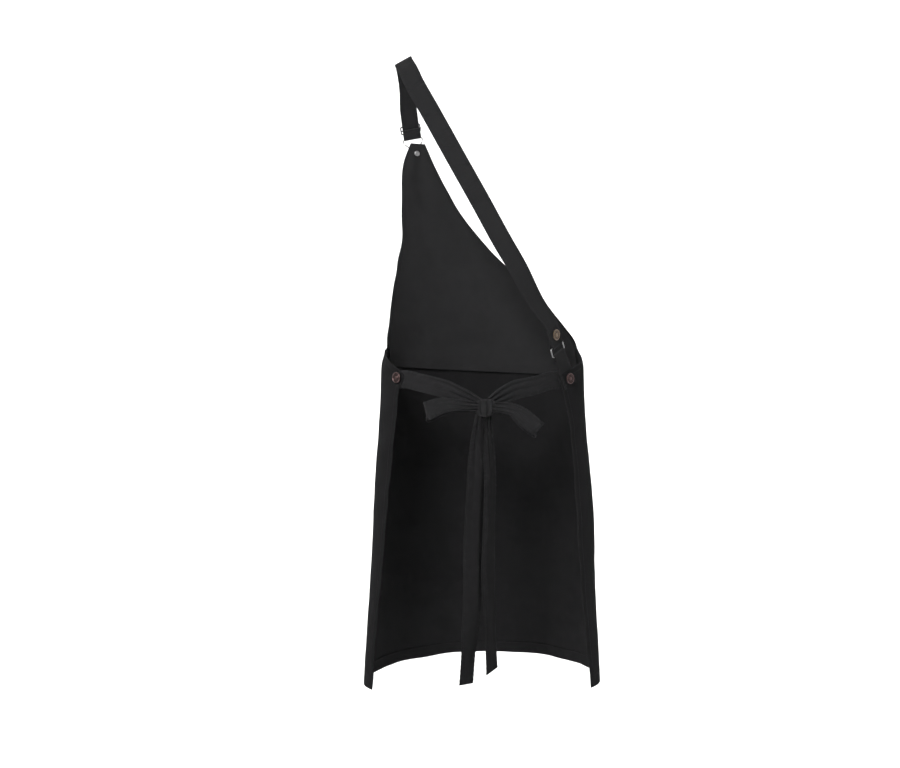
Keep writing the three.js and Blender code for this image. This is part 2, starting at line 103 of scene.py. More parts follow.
def from_middle(x, y, z):
    """A point in millimetres, x counted from the wearer's middle."""
    return vec(CENTRE_X + x * MM, y * MM, z * MM)


def lerp(a, b, t):
    return a + (b - a) * t


def ramp(x, low, high):
    """0 below low, 1 above high, smooth between."""
    t = np.clip((x - low) / (high - low), 0, 1)
    return t * t * (3 - 2 * t)


def bell(x, middle, width):
    """1 at the middle, falling away smoothly on both sides."""
    return np.exp(-((x - middle) / width) ** 2)


def smooth_table(knots):
    """A smooth value against height, through [height in mm, value] knots in rising order."""
    z = np.array([knot[0] for knot in knots]) * MM
    value = np.array([knot[1] for knot in knots], float)
    rise = np.diff(value) / np.diff(z)
    product = rise[:-1] * rise[1:]
    total = np.where(product > 0, rise[:-1] + rise[1:], 1)
    inner = np.where(product > 0, 2 * product / total, 0)
    slope = np.concatenate([rise[:1], inner, rise[-1:]])

    def table(height):
        h = np.clip(height, z[0], z[-1])
        i = np.clip(np.searchsorted(z, h) - 1, 0, len(z) - 2)
        span = z[i + 1] - z[i]
        t = (h - z[i]) / span
        early = (1 + 2 * t) * (1 - t) ** 2 * value[i] + t * (1 - t) ** 2 * span * slope[i]
        late = t * t * (3 - 2 * t) * value[i + 1] - t * t * (1 - t) * span * slope[i + 1]
        return early + late

    return table


def through(points, count):
    """count points on a centripetal Catmull-Rom line through the given ones."""
    points = np.asarray(points, float)
    first = 2 * points[0] - points[1]
    last = 2 * points[-1] - points[-2]
    padded = np.vstack([first, points, last])
    where = np.linspace(0, len(points) - 1, count)
    index = np.minimum(where.astype(int), len(points) - 2)
    t = (where - index)[:, None]
    p0, p1, p2, p3 = (padded[index + k] for k in range(4))
    root = [np.sqrt(np.linalg.norm(b - a, axis=1, keepdims=True)) + 1e-9
            for a, b in ((p0, p1), (p1, p2), (p2, p3))]
    t1 = (p1 - p0) / root[0] - (p2 - p0) / (root[0] + root[1]) + (p2 - p1) / root[1]
    t2 = (p2 - p1) / root[1] - (p3 - p1) / (root[1] + root[2]) + (p3 - p2) / root[2]
    t1, t2 = t1 * root[1], t2 * root[1]
    a = 2 * (p1 - p2) + t1 + t2
    b = -3 * (p1 - p2) - 2 * t1 - t2
    return ((a * t + b) * t + t1) * t + p1


def blend_rows(rows, count):
    """count rows interpolated straight between the given rows."""
    rows = np.asarray(rows, float)
    where = np.linspace(0, len(rows) - 1, count)
    index = np.minimum(where.astype(int), len(rows) - 2)
    t = where - index
    if rows.ndim == 2:
        t = t[:, None]
    return lerp(rows[index], rows[index + 1], t)


def along_of(points):
    """The unit direction of travel at each point of a line."""
    return unit(np.gradient(np.asarray(points, float), axis=0))


def length_along(points):
    steps = np.linalg.norm(np.diff(points, axis=0), axis=1)
    return np.concatenate([[0], np.cumsum(steps)])


# ------------------------------------------------------------ the wearer's form
# Against height in mm: the form's half width and depth in mm, and the angles of the
# panel's two cut edges round it in degrees.
half_width = smooth_table([[-992, 188], [-460, 161], [-300, 173], [-110, 200]])
front_depth = smooth_table([[-992, 185], [-460, 122], [-110, 107]])
left_edge = smooth_table([
    [-992, -118.5], [-805, -120.8], [-617, -124.6], [-523, -128], [-502, -132], [-494, -128.5],
    [-484, -121], [-466, -103], [-455, -80], [-426, -72], [-359, -62], [-274, -50],
    [-173, -45], [-140, -41.8], [-110, -37]])
right_edge = smooth_table([
    [-992, 111.5], [-806, 118], [-617, 121], [-523, 129], [-505, 133], [-498, 130],
    [-485, 114], [-466, 86], [-425, 59.5], [-380, 40.6], [-318, 15.3], [-286, 4.2],
    [-218, -13], [-152, -23.6], [-110, -29]])


def below_waist(z):
    """0 at the waist and above it, 1 at the hem."""
    return np.clip((WAIST_Z - z) / (WAIST_Z - HEM_Z), 0, 1)


def depth_at(angle, z):
    return np.where(np.cos(angle) > 0, front_depth(z) * MM, BACK_DEPTH)


def out_of_body(angle, z):
    """The level direction out of the form."""
    x = depth_at(angle, z) * np.sin(angle)
    y = half_width(z) * MM * np.cos(angle)
    return unit(np.stack([x, y, 0 * z], axis=-1))


def on_body(angle, z, offset=0.0):
    """The point of the form at an angle in radians round from its front middle."""
    angle, z, offset = np.broadcast_arrays(*map(np.asarray, (angle, z, offset)))
    sway = HEM_SWAY * below_waist(z) * np.cos(angle)
    x = CENTRE_X + half_width(z) * MM * np.sin(angle) + sway
    lift = HEM_RISE * below_waist(z) * (1 + np.cos(angle)) / 2
    point = np.stack([x, depth_at(angle, z) * np.cos(angle), z + lift], axis=-1)
    return point + out_of_body(angle, z) * offset[..., None]


def on_body_angle(point):
    """The angle round the form of a point near its surface."""
    z = np.array(point[2])
    depth = front_depth(z) * MM if point[1] > 0 else BACK_DEPTH
    return math.atan2((point[0] - CENTRE_X) / float(half_width(z) * MM), point[1] / float(depth))


# Cloth on the form is laid out flat by s, the length round the form from its front middle.
ARC_ANGLES = np.radians(np.linspace(-150, 150, 601))
ARC_LEVELS = np.linspace(HEM_Z - 5 * MM, TIP_Z + 5 * MM, 90)


def arc_lengths():
    grid = on_body(ARC_ANGLES[None, :], ARC_LEVELS[:, None])[..., :2]
    steps = np.linalg.norm(np.diff(grid, axis=1), axis=2)
    lengths = np.concatenate([np.zeros((len(ARC_LEVELS), 1)), np.cumsum(steps, axis=1)], axis=1)
    return lengths - lengths[:, [len(ARC_ANGLES) // 2]]


ARCS = arc_lengths()


def between_levels(value, z, read):
    """Reads each of the two levels beside every z, and blends them."""
    value, z = np.broadcast_arrays(np.asarray(value, float), np.asarray(z, float))
    place = (z - ARC_LEVELS[0]) / (ARC_LEVELS[1] - ARC_LEVELS[0])
    level = np.clip(place.astype(int), 0, len(ARC_LEVELS) - 2)
    t = np.clip(place - level, 0, 1)
    result = np.zeros(value.shape)
    for i in np.unique(level):
        here = level == i
        low = read(i, value[here])
        high = read(i + 1, value[here])
        result[here] = lerp(low, high, t[here])
    return result


def angle_at(s, z):
    return between_levels(s, z, lambda i, v: np.interp(v, ARCS[i], ARC_ANGLES))


def arc_at(angle, z):
    return between_levels(angle, z, lambda i, v: np.interp(v, ARC_ANGLES, ARCS[i]))


def left_s(z):
    return arc_at(np.radians(left_edge(z)), z)


def right_s(z):
    return arc_at(np.radians(right_edge(z)), z)


TIP_S = float((left_s(np.array(TIP_Z)) + right_s(np.array(TIP_Z))) / 2)


def crumple(s, z):
    """Small soft creases: waves of 25 to 90 mm in every direction."""
    chance = np.random.default_rng(11)
    steepness = 0.0042
    total = 0
    for _ in range(18):
        size = chance.uniform(25, 90) * MM
        heading = chance.uniform(0, math.pi)
        start = chance.uniform(0, 2 * math.pi)
        way = s * math.cos(heading) + z * math.sin(heading)
        total = total + size * np.sin(2 * math.pi * way / size + start)
    return steepness * total


def skirt_folds(s, z):
    """Long flutes that deepen towards the hem."""
    flutes = 0.6 * np.sin(s * 46 + 0.6 + 3 * z) + 0.4 * np.sin(s * 77 + 2.1 - 5 * z)
    return 4.0 * MM * below_waist(z) ** 1.3 * flutes


def bib_folds(s, z):
    """Drag lines that fan down from the bib's tip."""
    reach = np.hypot(s - TIP_S, z - TIP_Z)
    fan = np.arctan2(s - TIP_S, TIP_Z - z + 20 * MM)
    pull = np.exp(-reach / (110 * MM)) * ramp(reach, 10 * MM, 60 * MM)
    return 2.4 * MM * pull * np.sin(fan * 13 + 0.8)


def waist_folds(s, z):
    """Short slanting creases about the waist."""
    return 1.3 * MM * bell(z, WAIST_Z - 15 * MM, 70 * MM) * np.sin(s * 31 + z * 38)


def side_folds(z, angle):
    """The cloth drawn in at the corners of the waist, and full below them."""
    right = 6.5 * MM * bell(z, -710 * MM, 105 * MM)
    left = 3.2 * MM * bell(z, -670 * MM, 85 * MM)
    return np.where(angle > 0, right, left) - 5.0 * MM * bell(z, WAIST_Z, 17 * MM)


def folds(s, z, angle):
    """How far the hung cloth stands off the form."""
    front = ramp(np.cos(angle), 0.15, 0.7)
    side = 1 - ramp(np.abs(np.cos(angle)), 0.1, 0.7)
    hung = (skirt_folds(s, z) + bib_folds(s, z) + waist_folds(s, z)) * front
    return hung + crumple(s, z) * (1 - 0.75 * side) + side * side_folds(z, angle)


def cloth(s, z, offset=0.0):
    """A point of the hung cloth, offset outwards from the form's layer 0."""
    angle = angle_at(s, z)
    return on_body(angle, z, folds(s, z, angle) + offset)


# ------------------------------------------------------------ meshes
def new_object(name, points, faces, uv=None, wear=None):
    """A smooth mesh, with the cloth's flat coordinates and its wear at each point."""
    mesh = bpy.data.meshes.new(name)
    mesh.from_pydata(points.reshape(-1, 3).tolist(), [], faces)
    mesh.update()
    mesh.shade_smooth()
    if uv is not None:
        layer = mesh.uv_layers.new(name="cloth")
        corners = np.empty(len(mesh.loops), int)
        mesh.loops.foreach_get("vertex_index", corners)
        layer.data.foreach_set("uv", uv.reshape(-1, 2)[corners].astype(np.float32).ravel())
    if wear is not None:
        attribute = mesh.attributes.new("wear", "FLOAT", "POINT")
        attribute.data.foreach_set("value", wear.astype(np.float32).ravel())
    obj = bpy.data.objects.new(name, mesh)
    bpy.context.scene.collection.objects.link(obj)
    return obj


def grid_faces(rows, columns, start=0, flip=False):
    index = start + np.arange(rows * columns).reshape(rows, columns)
    quads = np.stack([index[:-1, :-1], index[:-1, 1:], index[1:, 1:], index[1:, :-1]], axis=-1)
    if flip:
        quads = quads[..., ::-1]
    return quads.reshape(-1, 4).tolist()


def rim_of(rows, columns):
    """The indices round the border of a grid, in order."""
    index = np.arange(rows * columns).reshape(rows, columns)
    return np.concatenate([index[0, :-1], index[:-1, -1], index[-1, :0:-1], index[:0:-1, 0]])


def shell(name, outer, inner, uv, wear):
    """A closed sheet between two grids of points: outer's faces look outwards."""
    rows, columns = outer.shape[:2]
    count = rows * columns
    faces = grid_faces(rows, columns) + grid_faces(rows, columns, count, flip=True)
    rim = rim_of(rows, columns)
    after = np.roll(rim, -1)
    faces += np.stack([after, rim, rim + count, after + count], axis=-1).tolist()
    points = np.concatenate([outer.reshape(-1, 3), inner.reshape(-1, 3)])
    return new_object(name, points, faces, np.concatenate([uv, uv]), np.concatenate([wear, wear]))


def skin(index):
    """Faces between rows of vertex numbers that each run once round."""
    beside = np.roll(index, -1, axis=1)
    quads = np.stack([index[:-1], beside[:-1], beside[1:], index[1:]], axis=-1)
    return quads.reshape(-1, 4).tolist()


def tube(name, rings, uv, wear, closed=False):
    """A closed skin over rings of points: [stations, points round, 3]."""
    stations, around = rings.shape[:2]
    index = np.arange(stations * around).reshape(stations, around)
    if closed:
        index = np.vstack([index, index[:1]])
    faces = skin(index)
    if not closed:
        faces.append(index[0, ::-1].tolist())
        faces.append(index[-1].tolist())
    return new_object(name, rings, faces, uv, wear)


def surface_sheet(name, s, z, offset, wear=None, outer_fold=0.0, inner_fold=0.0):
    """A piece of cloth that lies on the form over a grid of s and z, thicker where it is folded."""
    wear = np.zeros(s.shape) if wear is None else wear
    outer = cloth(s, z, offset + CLOTH / 2 + outer_fold)
    inner = cloth(s, z, offset - CLOTH / 2 - inner_fold)
    return shell(name, outer, inner, np.stack([s, z], axis=-1), wear)


# A quarter of a flat strap's section, as parts of its half width and half thickness:
# flat, with a groove under the row of stitches, and a rounded edge.
SEAM_PLACE = 0.82
FLAT_SECTION = np.array([
    *([place, 1.0] for place in (0.0, 0.1, 0.2, 0.3, 0.4, 0.5, 0.6, 0.69, 0.77)),
    [SEAM_PLACE, 0.7], [0.87, 1.0], [0.94, 0.97], [0.98, 0.65], [1.0, 0.0]])


def full_section(quarter):
    """The whole outline from its quarter, running once round."""
    right_down = quarter[-2::-1] * [1, -1]
    left_up = quarter[1:] * [-1, -1]
    left_down = quarter[-2:0:-1] * [-1, 1]
    return np.concatenate([quarter, right_down, left_up, left_down])


def raised(lift, pucker):
    """The height of a ribbon's section at a, from -1 to 1: its lift, and puckers by its seams."""
    def height(a, length):
        seam = pucker * ramp(np.abs(a), 0.5, 0.9) * np.sin(length * 880 + 7 * np.sign(a))
        return seam if lift is None else seam + lift(a, length)
    return height


def ribbon(name, middle, across, width, thickness=TIE_THICK, lift=None, pucker=0.3 * MM):
    """A strap along a line of points. lift(a, length) raises its section at a, from -1 to 1."""
    rise = raised(lift, pucker)
    middle = np.asarray(middle, float)
    along = along_of(middle)
    across = np.asarray(across, float)
    across = unit(across - along * np.sum(across * along, axis=1, keepdims=True))
    out = np.cross(along, across)
    section = full_section(FLAT_SECTION)
    width = np.broadcast_to(width, len(middle))[:, None]
    a = section[None, :, 0]
    side = a * width / 2
    length = length_along(middle)
    height = section[None, :, 1] * thickness / 2 + rise(a, length[:, None])
    rings = middle[:, None] + across[:, None] * side[..., None] + out[:, None] * height[..., None]
    uv = np.stack(np.broadcast_arrays(side, length[:, None]), axis=-1)
    wear = np.broadcast_to(ramp(np.abs(a), 0.9, 1.0), side.shape)
    line = (middle, across, out, width[:, 0], rise)
    return tube(name, rings, uv, wear), line


# ------------------------------------------------------------ stitching
def read_along(starts, length, values):
    """Rows of values, read at distances along a line."""
    return np.stack([np.interp(starts, length, values[:, k]) for k in range(3)], axis=1)


def stitch_row(points, out, pitch=STITCH_PITCH):
    """Boxes with pinched ends for a row of stitches along a line, each lying on the cloth."""
    points = np.asarray(points, float)
    length = length_along(points)
    count = int(length[-1] / pitch)
    starts = (np.arange(count) + 0.5) * pitch
    at = read_along(starts, length, points)
    normal = unit(read_along(starts, length, np.broadcast_to(out, points.shape)))
    along = unit(read_along(starts, length, along_of(points)))
    side = np.cross(along, normal)
    rings = []
    for part, size in ((-0.5, 0.45), (-0.25, 1), (0.25, 1), (0.5, 0.45)):
        centre = at + along * part * STITCH_LENGTH
        for across, up in ((-1, -1), (1, -1), (1, 1), (-1, 1)):
            corner = centre + side * across * size * STITCH_WIDTH / 2
            rings.append(corner + normal * up * size * STITCH_HEIGHT / 2)
    return np.stack(rings, axis=1).reshape(-1, 4, 4, 3)


def stitches(name, rows):
    """One object holding rows of stitches, each stitch a small closed body."""
    rows = np.concatenate(rows)
    corners = np.arange(16).reshape(4, 4)
    one = np.array([corners[0, ::-1].tolist(), corners[-1].tolist()] + skin(corners))
    starts = corners.size * np.arange(len(rows))
    faces = (one[None] + starts[:, None, None]).reshape(-1, 4).tolist()
    return new_object(name, rows, faces)


def ribbon_stitches(line, trim, thickness):
    """Rows of stitches on both faces of a ribbon, near its edges."""
    middle, across, out, width, rise = line
    length = length_along(middle)
    keep = (length > trim) & (length < length[-1] - trim)
    rows = []
    sunk = 0.36              # of the thickness, into the groove
    for side in (-SEAM_PLACE, SEAM_PLACE):
        height = rise(np.full(length.shape, side), length)
        for face in (1, -1):
            up = height + face * sunk * thickness
            at = middle + across * (side * width / 2)[:, None] + out * up[:, None]
            rows.append(stitch_row(at[keep], (out * face)[keep]))
    return rows


Sewn = namedtuple("Sewn", "piece rows length")


def sewn(piece, line, trim, thickness=TIE_THICK):
    """A finished strap or tie: the piece, its rows of stitches and its length."""
    rows = ribbon_stitches(line, trim, thickness)
    return Sewn(piece, rows, length_along(line[0])[-1])


def cloth_stitches(s, z, offsets, half=CLOTH / 2):
    """Rows of stitches through cloth on the form, on the outer and the inner face."""
    outer, inner = offsets
    out = out_of_body(angle_at(s, z), z)
    return [
        stitch_row(cloth(s, z, outer + half), out),
        stitch_row(cloth(s, z, inner - half), -out),
    ]


# ------------------------------------------------------------ materials
def node(tree, kind, **values):
    made = tree.nodes.new(kind)
    for name, value in values.items():
        setattr(made, name, value)
    return made


def feed(socket, value):
    """Gives an input a value, a colour without its alpha, or another node's output."""
    if isinstance(value, bpy.types.NodeSocket):
        socket.id_data.links.new(value, socket)
    elif isinstance(value, tuple):
        socket.default_value = (*value, 1)
    else:
        socket.default_value = value


def set_inputs(made, **values):
    """Feeds a node's inputs by name, with an underscore for each space."""
    for name, value in values.items():
        feed(made.inputs[name.replace("_", " ")], value)


def maths(operation, *inputs):
    """A node that works on its inputs, the first of which is another node's output."""
    made = node(inputs[0].id_data, "ShaderNodeMath", operation=operation)
    for socket, value in zip(made.inputs, inputs):
        feed(socket, value)
    return made.outputs[0]


def plus(first, second):
    return maths("ADD", first, second)


def times(first, second):
    return maths("MULTIPLY", first, second)


def waves(place, turn):
    return maths("SINE", times(place, turn))


def new_material(name):
    material = bpy.data.materials.new(name)
    material.use_nodes = True
    return material, material.node_tree, material.node_tree.nodes["Principled BSDF"]


def noise(vector, scale, detail=3.0, rough=0.55):
    made = node(vector.id_data, "ShaderNodeTexNoise")
    set_inputs(made, Scale=scale, Detail=detail, Roughness=rough, Vector=vector)
    return made.outputs["Fac"]


def mix_colour(factor, first, second):
    made = node(factor.id_data, "ShaderNodeMix", data_type="RGBA")
    set_inputs(made, Factor=factor, A=first, B=second)
    return made.outputs["Result"]


def times_colour(colour, by):
    return tuple(channel * by for channel in colour)


def wear_of(tree):
    """How worn the mesh is here, from its own attribute."""
    return node(tree, "ShaderNodeAttribute", attribute_name="wear").outputs["Fac"]


def object_place(tree):
    """Where a point is in its own object's space."""
    return node(tree, "ShaderNodeTexCoord").outputs["Object"]


def bump(shader, height, strength, distance):
    made = node(shader.id_data, "ShaderNodeBump")
    set_inputs(made, Strength=strength, Distance=distance, Height=height)
    set_inputs(shader, Normal=made.outputs[0])


def twill(name, colour, sheen=0.02, wale=1.1 * MM):
    """Black cotton twill: diagonal wales, yarns, soft fading and paler worn edges."""
    material, tree, shader = new_material(name)
    uv = node(tree, "ShaderNodeUVMap", uv_map="cloth").outputs["UV"]
    parts = node(tree, "ShaderNodeSeparateXYZ")
    feed(parts.inputs[0], uv)
    u, v = parts.outputs[0], parts.outputs[1]
    wale_turn = 2 * math.pi / wale
    yarn_turn = 2.1 * wale_turn
    diagonal = waves(plus(u, v), wale_turn)
    yarns = times(waves(u, yarn_turn), waves(v, yarn_turn))
    fuzz = noise(uv, 2600, 2)
    weave = plus(times(diagonal, 0.5), times(yarns, 0.3))
    bump(shader, plus(weave, times(fuzz, 0.8)), 0.5, 0.12 * MM)
    soft = noise(uv, 9, 4)
    blotch = noise(uv, 85, 3)
    level = plus(times(soft, 0.6), times(blotch, 0.25))
    level = plus(level, times(weave, 0.18))
    faded = mix_colour(level, times_colour(colour, 0.78), times_colour(colour, 1.28))
    rubbed = times(wear_of(tree), times(blotch, 0.8))
    base = mix_colour(rubbed, faded, times_colour(colour, 1.25))
    rough = plus(times(soft, 0.12), 0.78)
    set_inputs(shader, Base_Color=base, Roughness=rough, Specular_IOR_Level=0.0)
    set_inputs(shader, Sheen_Weight=sheen, Sheen_Roughness=0.45)
    return material


def thread(name, colour):
    """Cotton thread, mottled by its twist."""
    material, tree, shader = new_material(name)
    twist = noise(object_place(tree), 3500, 2)
    base = mix_colour(twist, times_colour(colour, 0.7), colour)
    set_inputs(shader, Base_Color=base, Roughness=0.6, Specular_IOR_Level=0.04)
    return material


def metal(name, colour, roughness, tarnish, patches=260, metallic=1.0):
    """Plated or aged metal: tarnish in patches, and fine scratches that change the gloss."""
    material, tree, shader = new_material(name)
    place = object_place(tree)
    cloud = noise(place, patches, 5, 0.65)
    fine = noise(place, 2400, 3)
    bright = node(tree, "ShaderNodeMapRange")
    set_inputs(bright, From_Min=0.4, From_Max=1.1)
    set_inputs(bright, Value=plus(cloud, times(wear_of(tree), 0.6)))
    base = mix_colour(bright.outputs["Result"], tarnish, colour)
    rough = plus(times(fine, 0.22), roughness - 0.1)
    set_inputs(shader, Base_Color=base, Roughness=rough, Metallic=metallic)
    bump(shader, fine, 0.25, 0.05 * MM)
    return material


MATERIALS = {
    # The panel, hems and pocket get a darker tone than the facing, strap and ties of the same black
    # twill: painted shade for the hollow inside of the skirt.
    "panel": twill("twill_panel", (0.0078, 0.0078, 0.0081)),
    "facing": twill("twill_facing", (0.013, 0.013, 0.0134)),
    "strap": twill("twill_strap", (0.012, 0.012, 0.0124), sheen=0.03),
    "tie": twill("twill_tie", (0.0118, 0.0118, 0.0122), sheen=0.03),
    # The tails get a darker copy of the ties' twill: painted shade for the dimmer light they hang
    # in.
    "tail": twill("twill_tail_painted_shade", (0.0088, 0.0088, 0.0091), sheen=0.02),
    "thread": thread("black_thread", (0.012, 0.012, 0.0124)),
    "nickel": metal("bright_nickel", (0.38, 0.38, 0.39), 0.26, (0.2, 0.2, 0.2)),
    "tack": metal("satin_nickel", (0.42, 0.42, 0.43), 0.4, (0.2, 0.2, 0.2)),
    "black": metal("black_enamel", (0.016, 0.016, 0.0165), 0.5, (0.012, 0.012, 0.012),
                   metallic=0.4),
    "brass": metal("aged_brass", (0.165, 0.125, 0.09), 0.3, (0.018, 0.014, 0.011)),
    "copper": metal("aged_copper", (0.082, 0.054, 0.052), 0.3, (0.014, 0.0105, 0.0105)),
}


def place_piece(obj, body, material, nodes=()):
    """Gives a piece its material and slot, the body it rides on and the CAD nodes it replaces."""
    obj.data.materials.append(MATERIALS[material])
    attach(obj, body)
    if nodes:
        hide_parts(*nodes)
    return obj


# ------------------------------------------------------------ camera, light and floor
def look():
    """The camera: level, behind the wearer, with the object a little right of the middle."""
    data = bpy.data.cameras.new("camera")
    camera = bpy.data.objects.new("camera", data)
    bpy.context.scene.collection.objects.link(camera)
    distance, level = 1.788, -0.514
    camera.location = (CENTRE_X, -distance, level)
    camera.rotation_euler = (math.pi / 2, 0, 0)
    data.sensor_width = 36
    data.lens = 44.68
    data.shift_x = -0.0361
    data.clip_end = 50
    bpy.context.scene.camera = camera


def softbox(name, place, target, size, power, spread=180):
    """A round area light that the camera doesn't see, aimed at a target."""
    data = bpy.data.lights.new(name, "AREA")
    data.shape = "DISK"
    data.size = size
    data.energy = power
    data.spread = math.radians(spread)
    light = bpy.data.objects.new(name, data)
    bpy.context.scene.collection.objects.link(light)
    light.visible_camera = False
    light.location = place
    aim = vec(*target) - vec(*place)
    flat = math.hypot(aim[0], aim[1])
    light.rotation_euler = (math.atan2(flat, -aim[2]), 0, math.atan2(aim[1], aim[0]) - math.pi / 2)


def backdrop():
    """A pale floor that sweeps up into a pale wall all round."""
    floor_z = -1.45
    radius = np.array([1.0, 2.2, 3.2, 3.9, 4.4, 4.7, 4.8, 4.8])
    height = np.array([0.0, 0.0, 0.08, 0.35, 0.85, 1.6, 2.6, 5.0])
    turn = circle(96)
    rings = np.stack([
        CENTRE_X + radius[:, None] * np.cos(turn), radius[:, None] * np.sin(turn),
        floor_z + height[:, None] + 0 * turn], axis=-1)
    index = np.arange(rings[..., 0].size).reshape(-1, len(turn))
    floor = new_object("floor", rings, skin(index) + [index[0, ::-1].tolist()])
    material, tree, shader = new_material("pale_paper")
    grain = noise(object_place(tree), 3, 4)
    paper = mix_colour(grain, (0.86, 0.86, 0.86), (0.9, 0.9, 0.9))
    set_inputs(shader, Base_Color=paper, Roughness=0.9)
    floor.data.materials.append(material)


def lighting():
    """A dim white world, soft lights on every side, and three that whiten the wall in front."""
    world = bpy.data.worlds.new("studio")
    world.use_nodes = True
    set_inputs(world.node_tree.nodes["Background"], Color=(1, 1, 1), Strength=0.24)
    bpy.context.scene.world = world
    bpy.context.scene.view_settings.view_transform = "Standard"
    middle = (CENTRE_X, 0.05, -0.5)
    softbox("key", (-0.8, -2.5, 1.0), (CENTRE_X, 0.0, -0.3), 1.0, 22, spread=70)
    softbox("left", (-2.4, -1.2, 0.3), middle, 1.4, 12)
    softbox("right", (2.6, -0.9, 0.2), middle, 1.4, 9)
    softbox("front", (0.5, 2.7, 1.0), middle, 1.2, 46, spread=60)
    for turn in (45, 90, 135):
        side = math.radians(turn)
        toward = (CENTRE_X + 4.5 * math.cos(side), 4.5 * math.sin(side), -0.9)
        near = (CENTRE_X + 1.9 * math.cos(side), 1.9 * math.sin(side), 2.4)
        softbox("wall_%d" % turn, near, toward, 1.0, 75)


# ------------------------------------------------------------ the main panel
def distance_to_edge(s, z):
    """Roughly how far a point of the panel is from its nearest cut edge."""
    slope_left = np.gradient(left_s(z[:, 0]), z[:, 0])[:, None]
    slope_right = np.gradient(right_s(z[:, 0]), z[:, 0])[:, None]
    left = (s - left_s(z)) / np.hypot(1, slope_left)
    right = (right_s(z) - s) / np.hypot(1, slope_right)
    return np.minimum(np.minimum(left, right), np.minimum(z - HEM_Z, TIP_Z - z))


def panel_heights(bottom, top, step):
    """Heights of rows, closer together where the side edges turn quickly."""
    low, high, closer = -515 * MM, -445 * MM, 2.6
    stretches = [(bottom, low, step), (low, high, step / closer), (high, top, step)]
    parts = [np.arange(a, b - c / 2, c) for a, b, c in stretches]
    return np.concatenate([*parts, [top]])


def flat_cut(s, z):
    """The size a piece was cut to: its greatest width, its length and its area when laid flat."""
    width = s[:, -1] - s[:, 0]
    level = z.mean(axis=1)
    area = np.sum((width[1:] + width[:-1]) / 2 * np.diff(level))
    return (float(width.max()), float(level[-1] - level[0])), float(area)


def body_panel():
    """The skirt, both side flaps and the bib, cut as one piece."""
    columns = 150
    z = panel_heights(HEM_Z, TIP_Z, 2.8 * MM)[:, None] + np.zeros(columns)
    u = np.linspace(0, 1, columns)
    s = lerp(left_s(z[:, :1]), right_s(z[:, :1]), u)
    wear = 1 - ramp(distance_to_edge(s, z), 0.4 * MM, 2.5 * MM)
    panel = surface_sheet("apron_panel", s, z, CLOTH_MID, wear=wear)
    place_piece(panel, "apron", "panel", ["body_panel"])
    return panel, flat_cut(s, z)


def edge_line(edge, low, high, count):
    """A cut edge in flat cloth, and the direction into the cloth along it."""
    z = np.linspace(low, high, count)
    s = edge(z)
    inward = 1 if edge is left_s else -1
    ds, dz = np.gradient(s), np.gradient(z)
    size = np.hypot(ds, dz)
    return s, z, inward * dz / size, -inward * ds / size


def side_hem(name, edge, top):
    """The folded hem along one side, lying on the inside of the panel."""
    s, z, into_s, into_z = edge_line(edge, HEM_Z + BOTTOM_HEM + 1 * MM, top, 420)
    part = np.array([0.02, 0.2, 0.5, 0.8, 0.94, 1.0]) * SIDE_HEM
    hem_s = s[:, None] + into_s[:, None] * part
    hem_z = z[:, None] + into_z[:, None] * part
    if edge is right_s:
        hem_s, hem_z = hem_s[:, ::-1], hem_z[:, ::-1]
    hem = surface_sheet(name, hem_s, hem_z, HEM_LAYER)
    place_piece(hem, "apron", "panel")
    seam = 0.82 * SIDE_HEM
    rows = cloth_stitches(s + into_s * seam, z + into_z * seam, (CLOTH_MID, HEM_LAYER))
    return hem, rows


def bottom_hem():
    """The folded hem along the bottom, lying on the inside of the panel."""
    columns = 260
    along = np.linspace(0, 1, columns)
    part = np.array([0.02, 0.2, 0.5, 0.8, 0.95, 1.0]) * BOTTOM_HEM
    z = HEM_Z + part[:, None] + np.zeros(columns)
    s = lerp(left_s(z[:, :1]) + 0.2 * MM, right_s(z[:, :1]) - 0.2 * MM, along)
    hem = surface_sheet("bottom_hem", s, z, HEM_LAYER)
    place_piece(hem, "apron", "panel")
    seam_z = np.full(columns, HEM_Z + 0.88 * BOTTOM_HEM)
    seam_s = lerp(left_s(seam_z) + 2 * MM, right_s(seam_z) - 2 * MM, along)
    return hem, cloth_stitches(seam_s, seam_z, (CLOTH_MID, HEM_LAYER))


def bib_facing():
    """The inner layer of the bib. Its lower edge hangs free and stands a little off the panel."""
    columns, rows = 110, 190
    reach = math.radians(76)
    bottom = -493 * MM
    z = np.linspace(bottom, TIP_Z - 1 * MM, rows)[:, None] + np.zeros(columns)
    low = np.maximum(left_s(z) + 1 * MM, arc_at(-reach, z))
    high = np.minimum(right_s(z) - 1 * MM, arc_at(reach, z))
    s = lerp(low, high, np.linspace(0, 1, columns))
    lower = np.linspace(0, 1, rows)[:, None]
    z = z - 0.045 * s * (1 - lower) ** 4
    above = z - z[:1]
    hem_fold = 0.35 * MM * (1 - ramp(above, 9.4 * MM, 10.2 * MM))
    stand_off = 2.6 * MM * (1 - ramp(above, 0, 60 * MM)) ** 2
    wave = 0.7 * MM * np.sin(s * 60 + 1) * (1 - ramp(above, 0, 90 * MM))
    offset = FACING_LAYER - stand_off - wave
    wear = 1 - ramp(above, 0.3 * MM, 1.6 * MM)
    facing = surface_sheet("bib_facing_cloth", s, z, offset, wear, inner_fold=hem_fold)
    place_piece(facing, "apron", "facing", ["bib_facing"])
    seam = np.searchsorted(above[:, columns // 2], 8.6 * MM)
    seam_s, seam_z = s[seam], z[seam]
    row = cloth(seam_s, seam_z, (offset - CLOTH / 2 - hem_fold)[seam])
    stitching = [stitch_row(row, -out_of_body(angle_at(seam_s, seam_z), seam_z))]
    return facing, stitching, flat_cut(s, z)


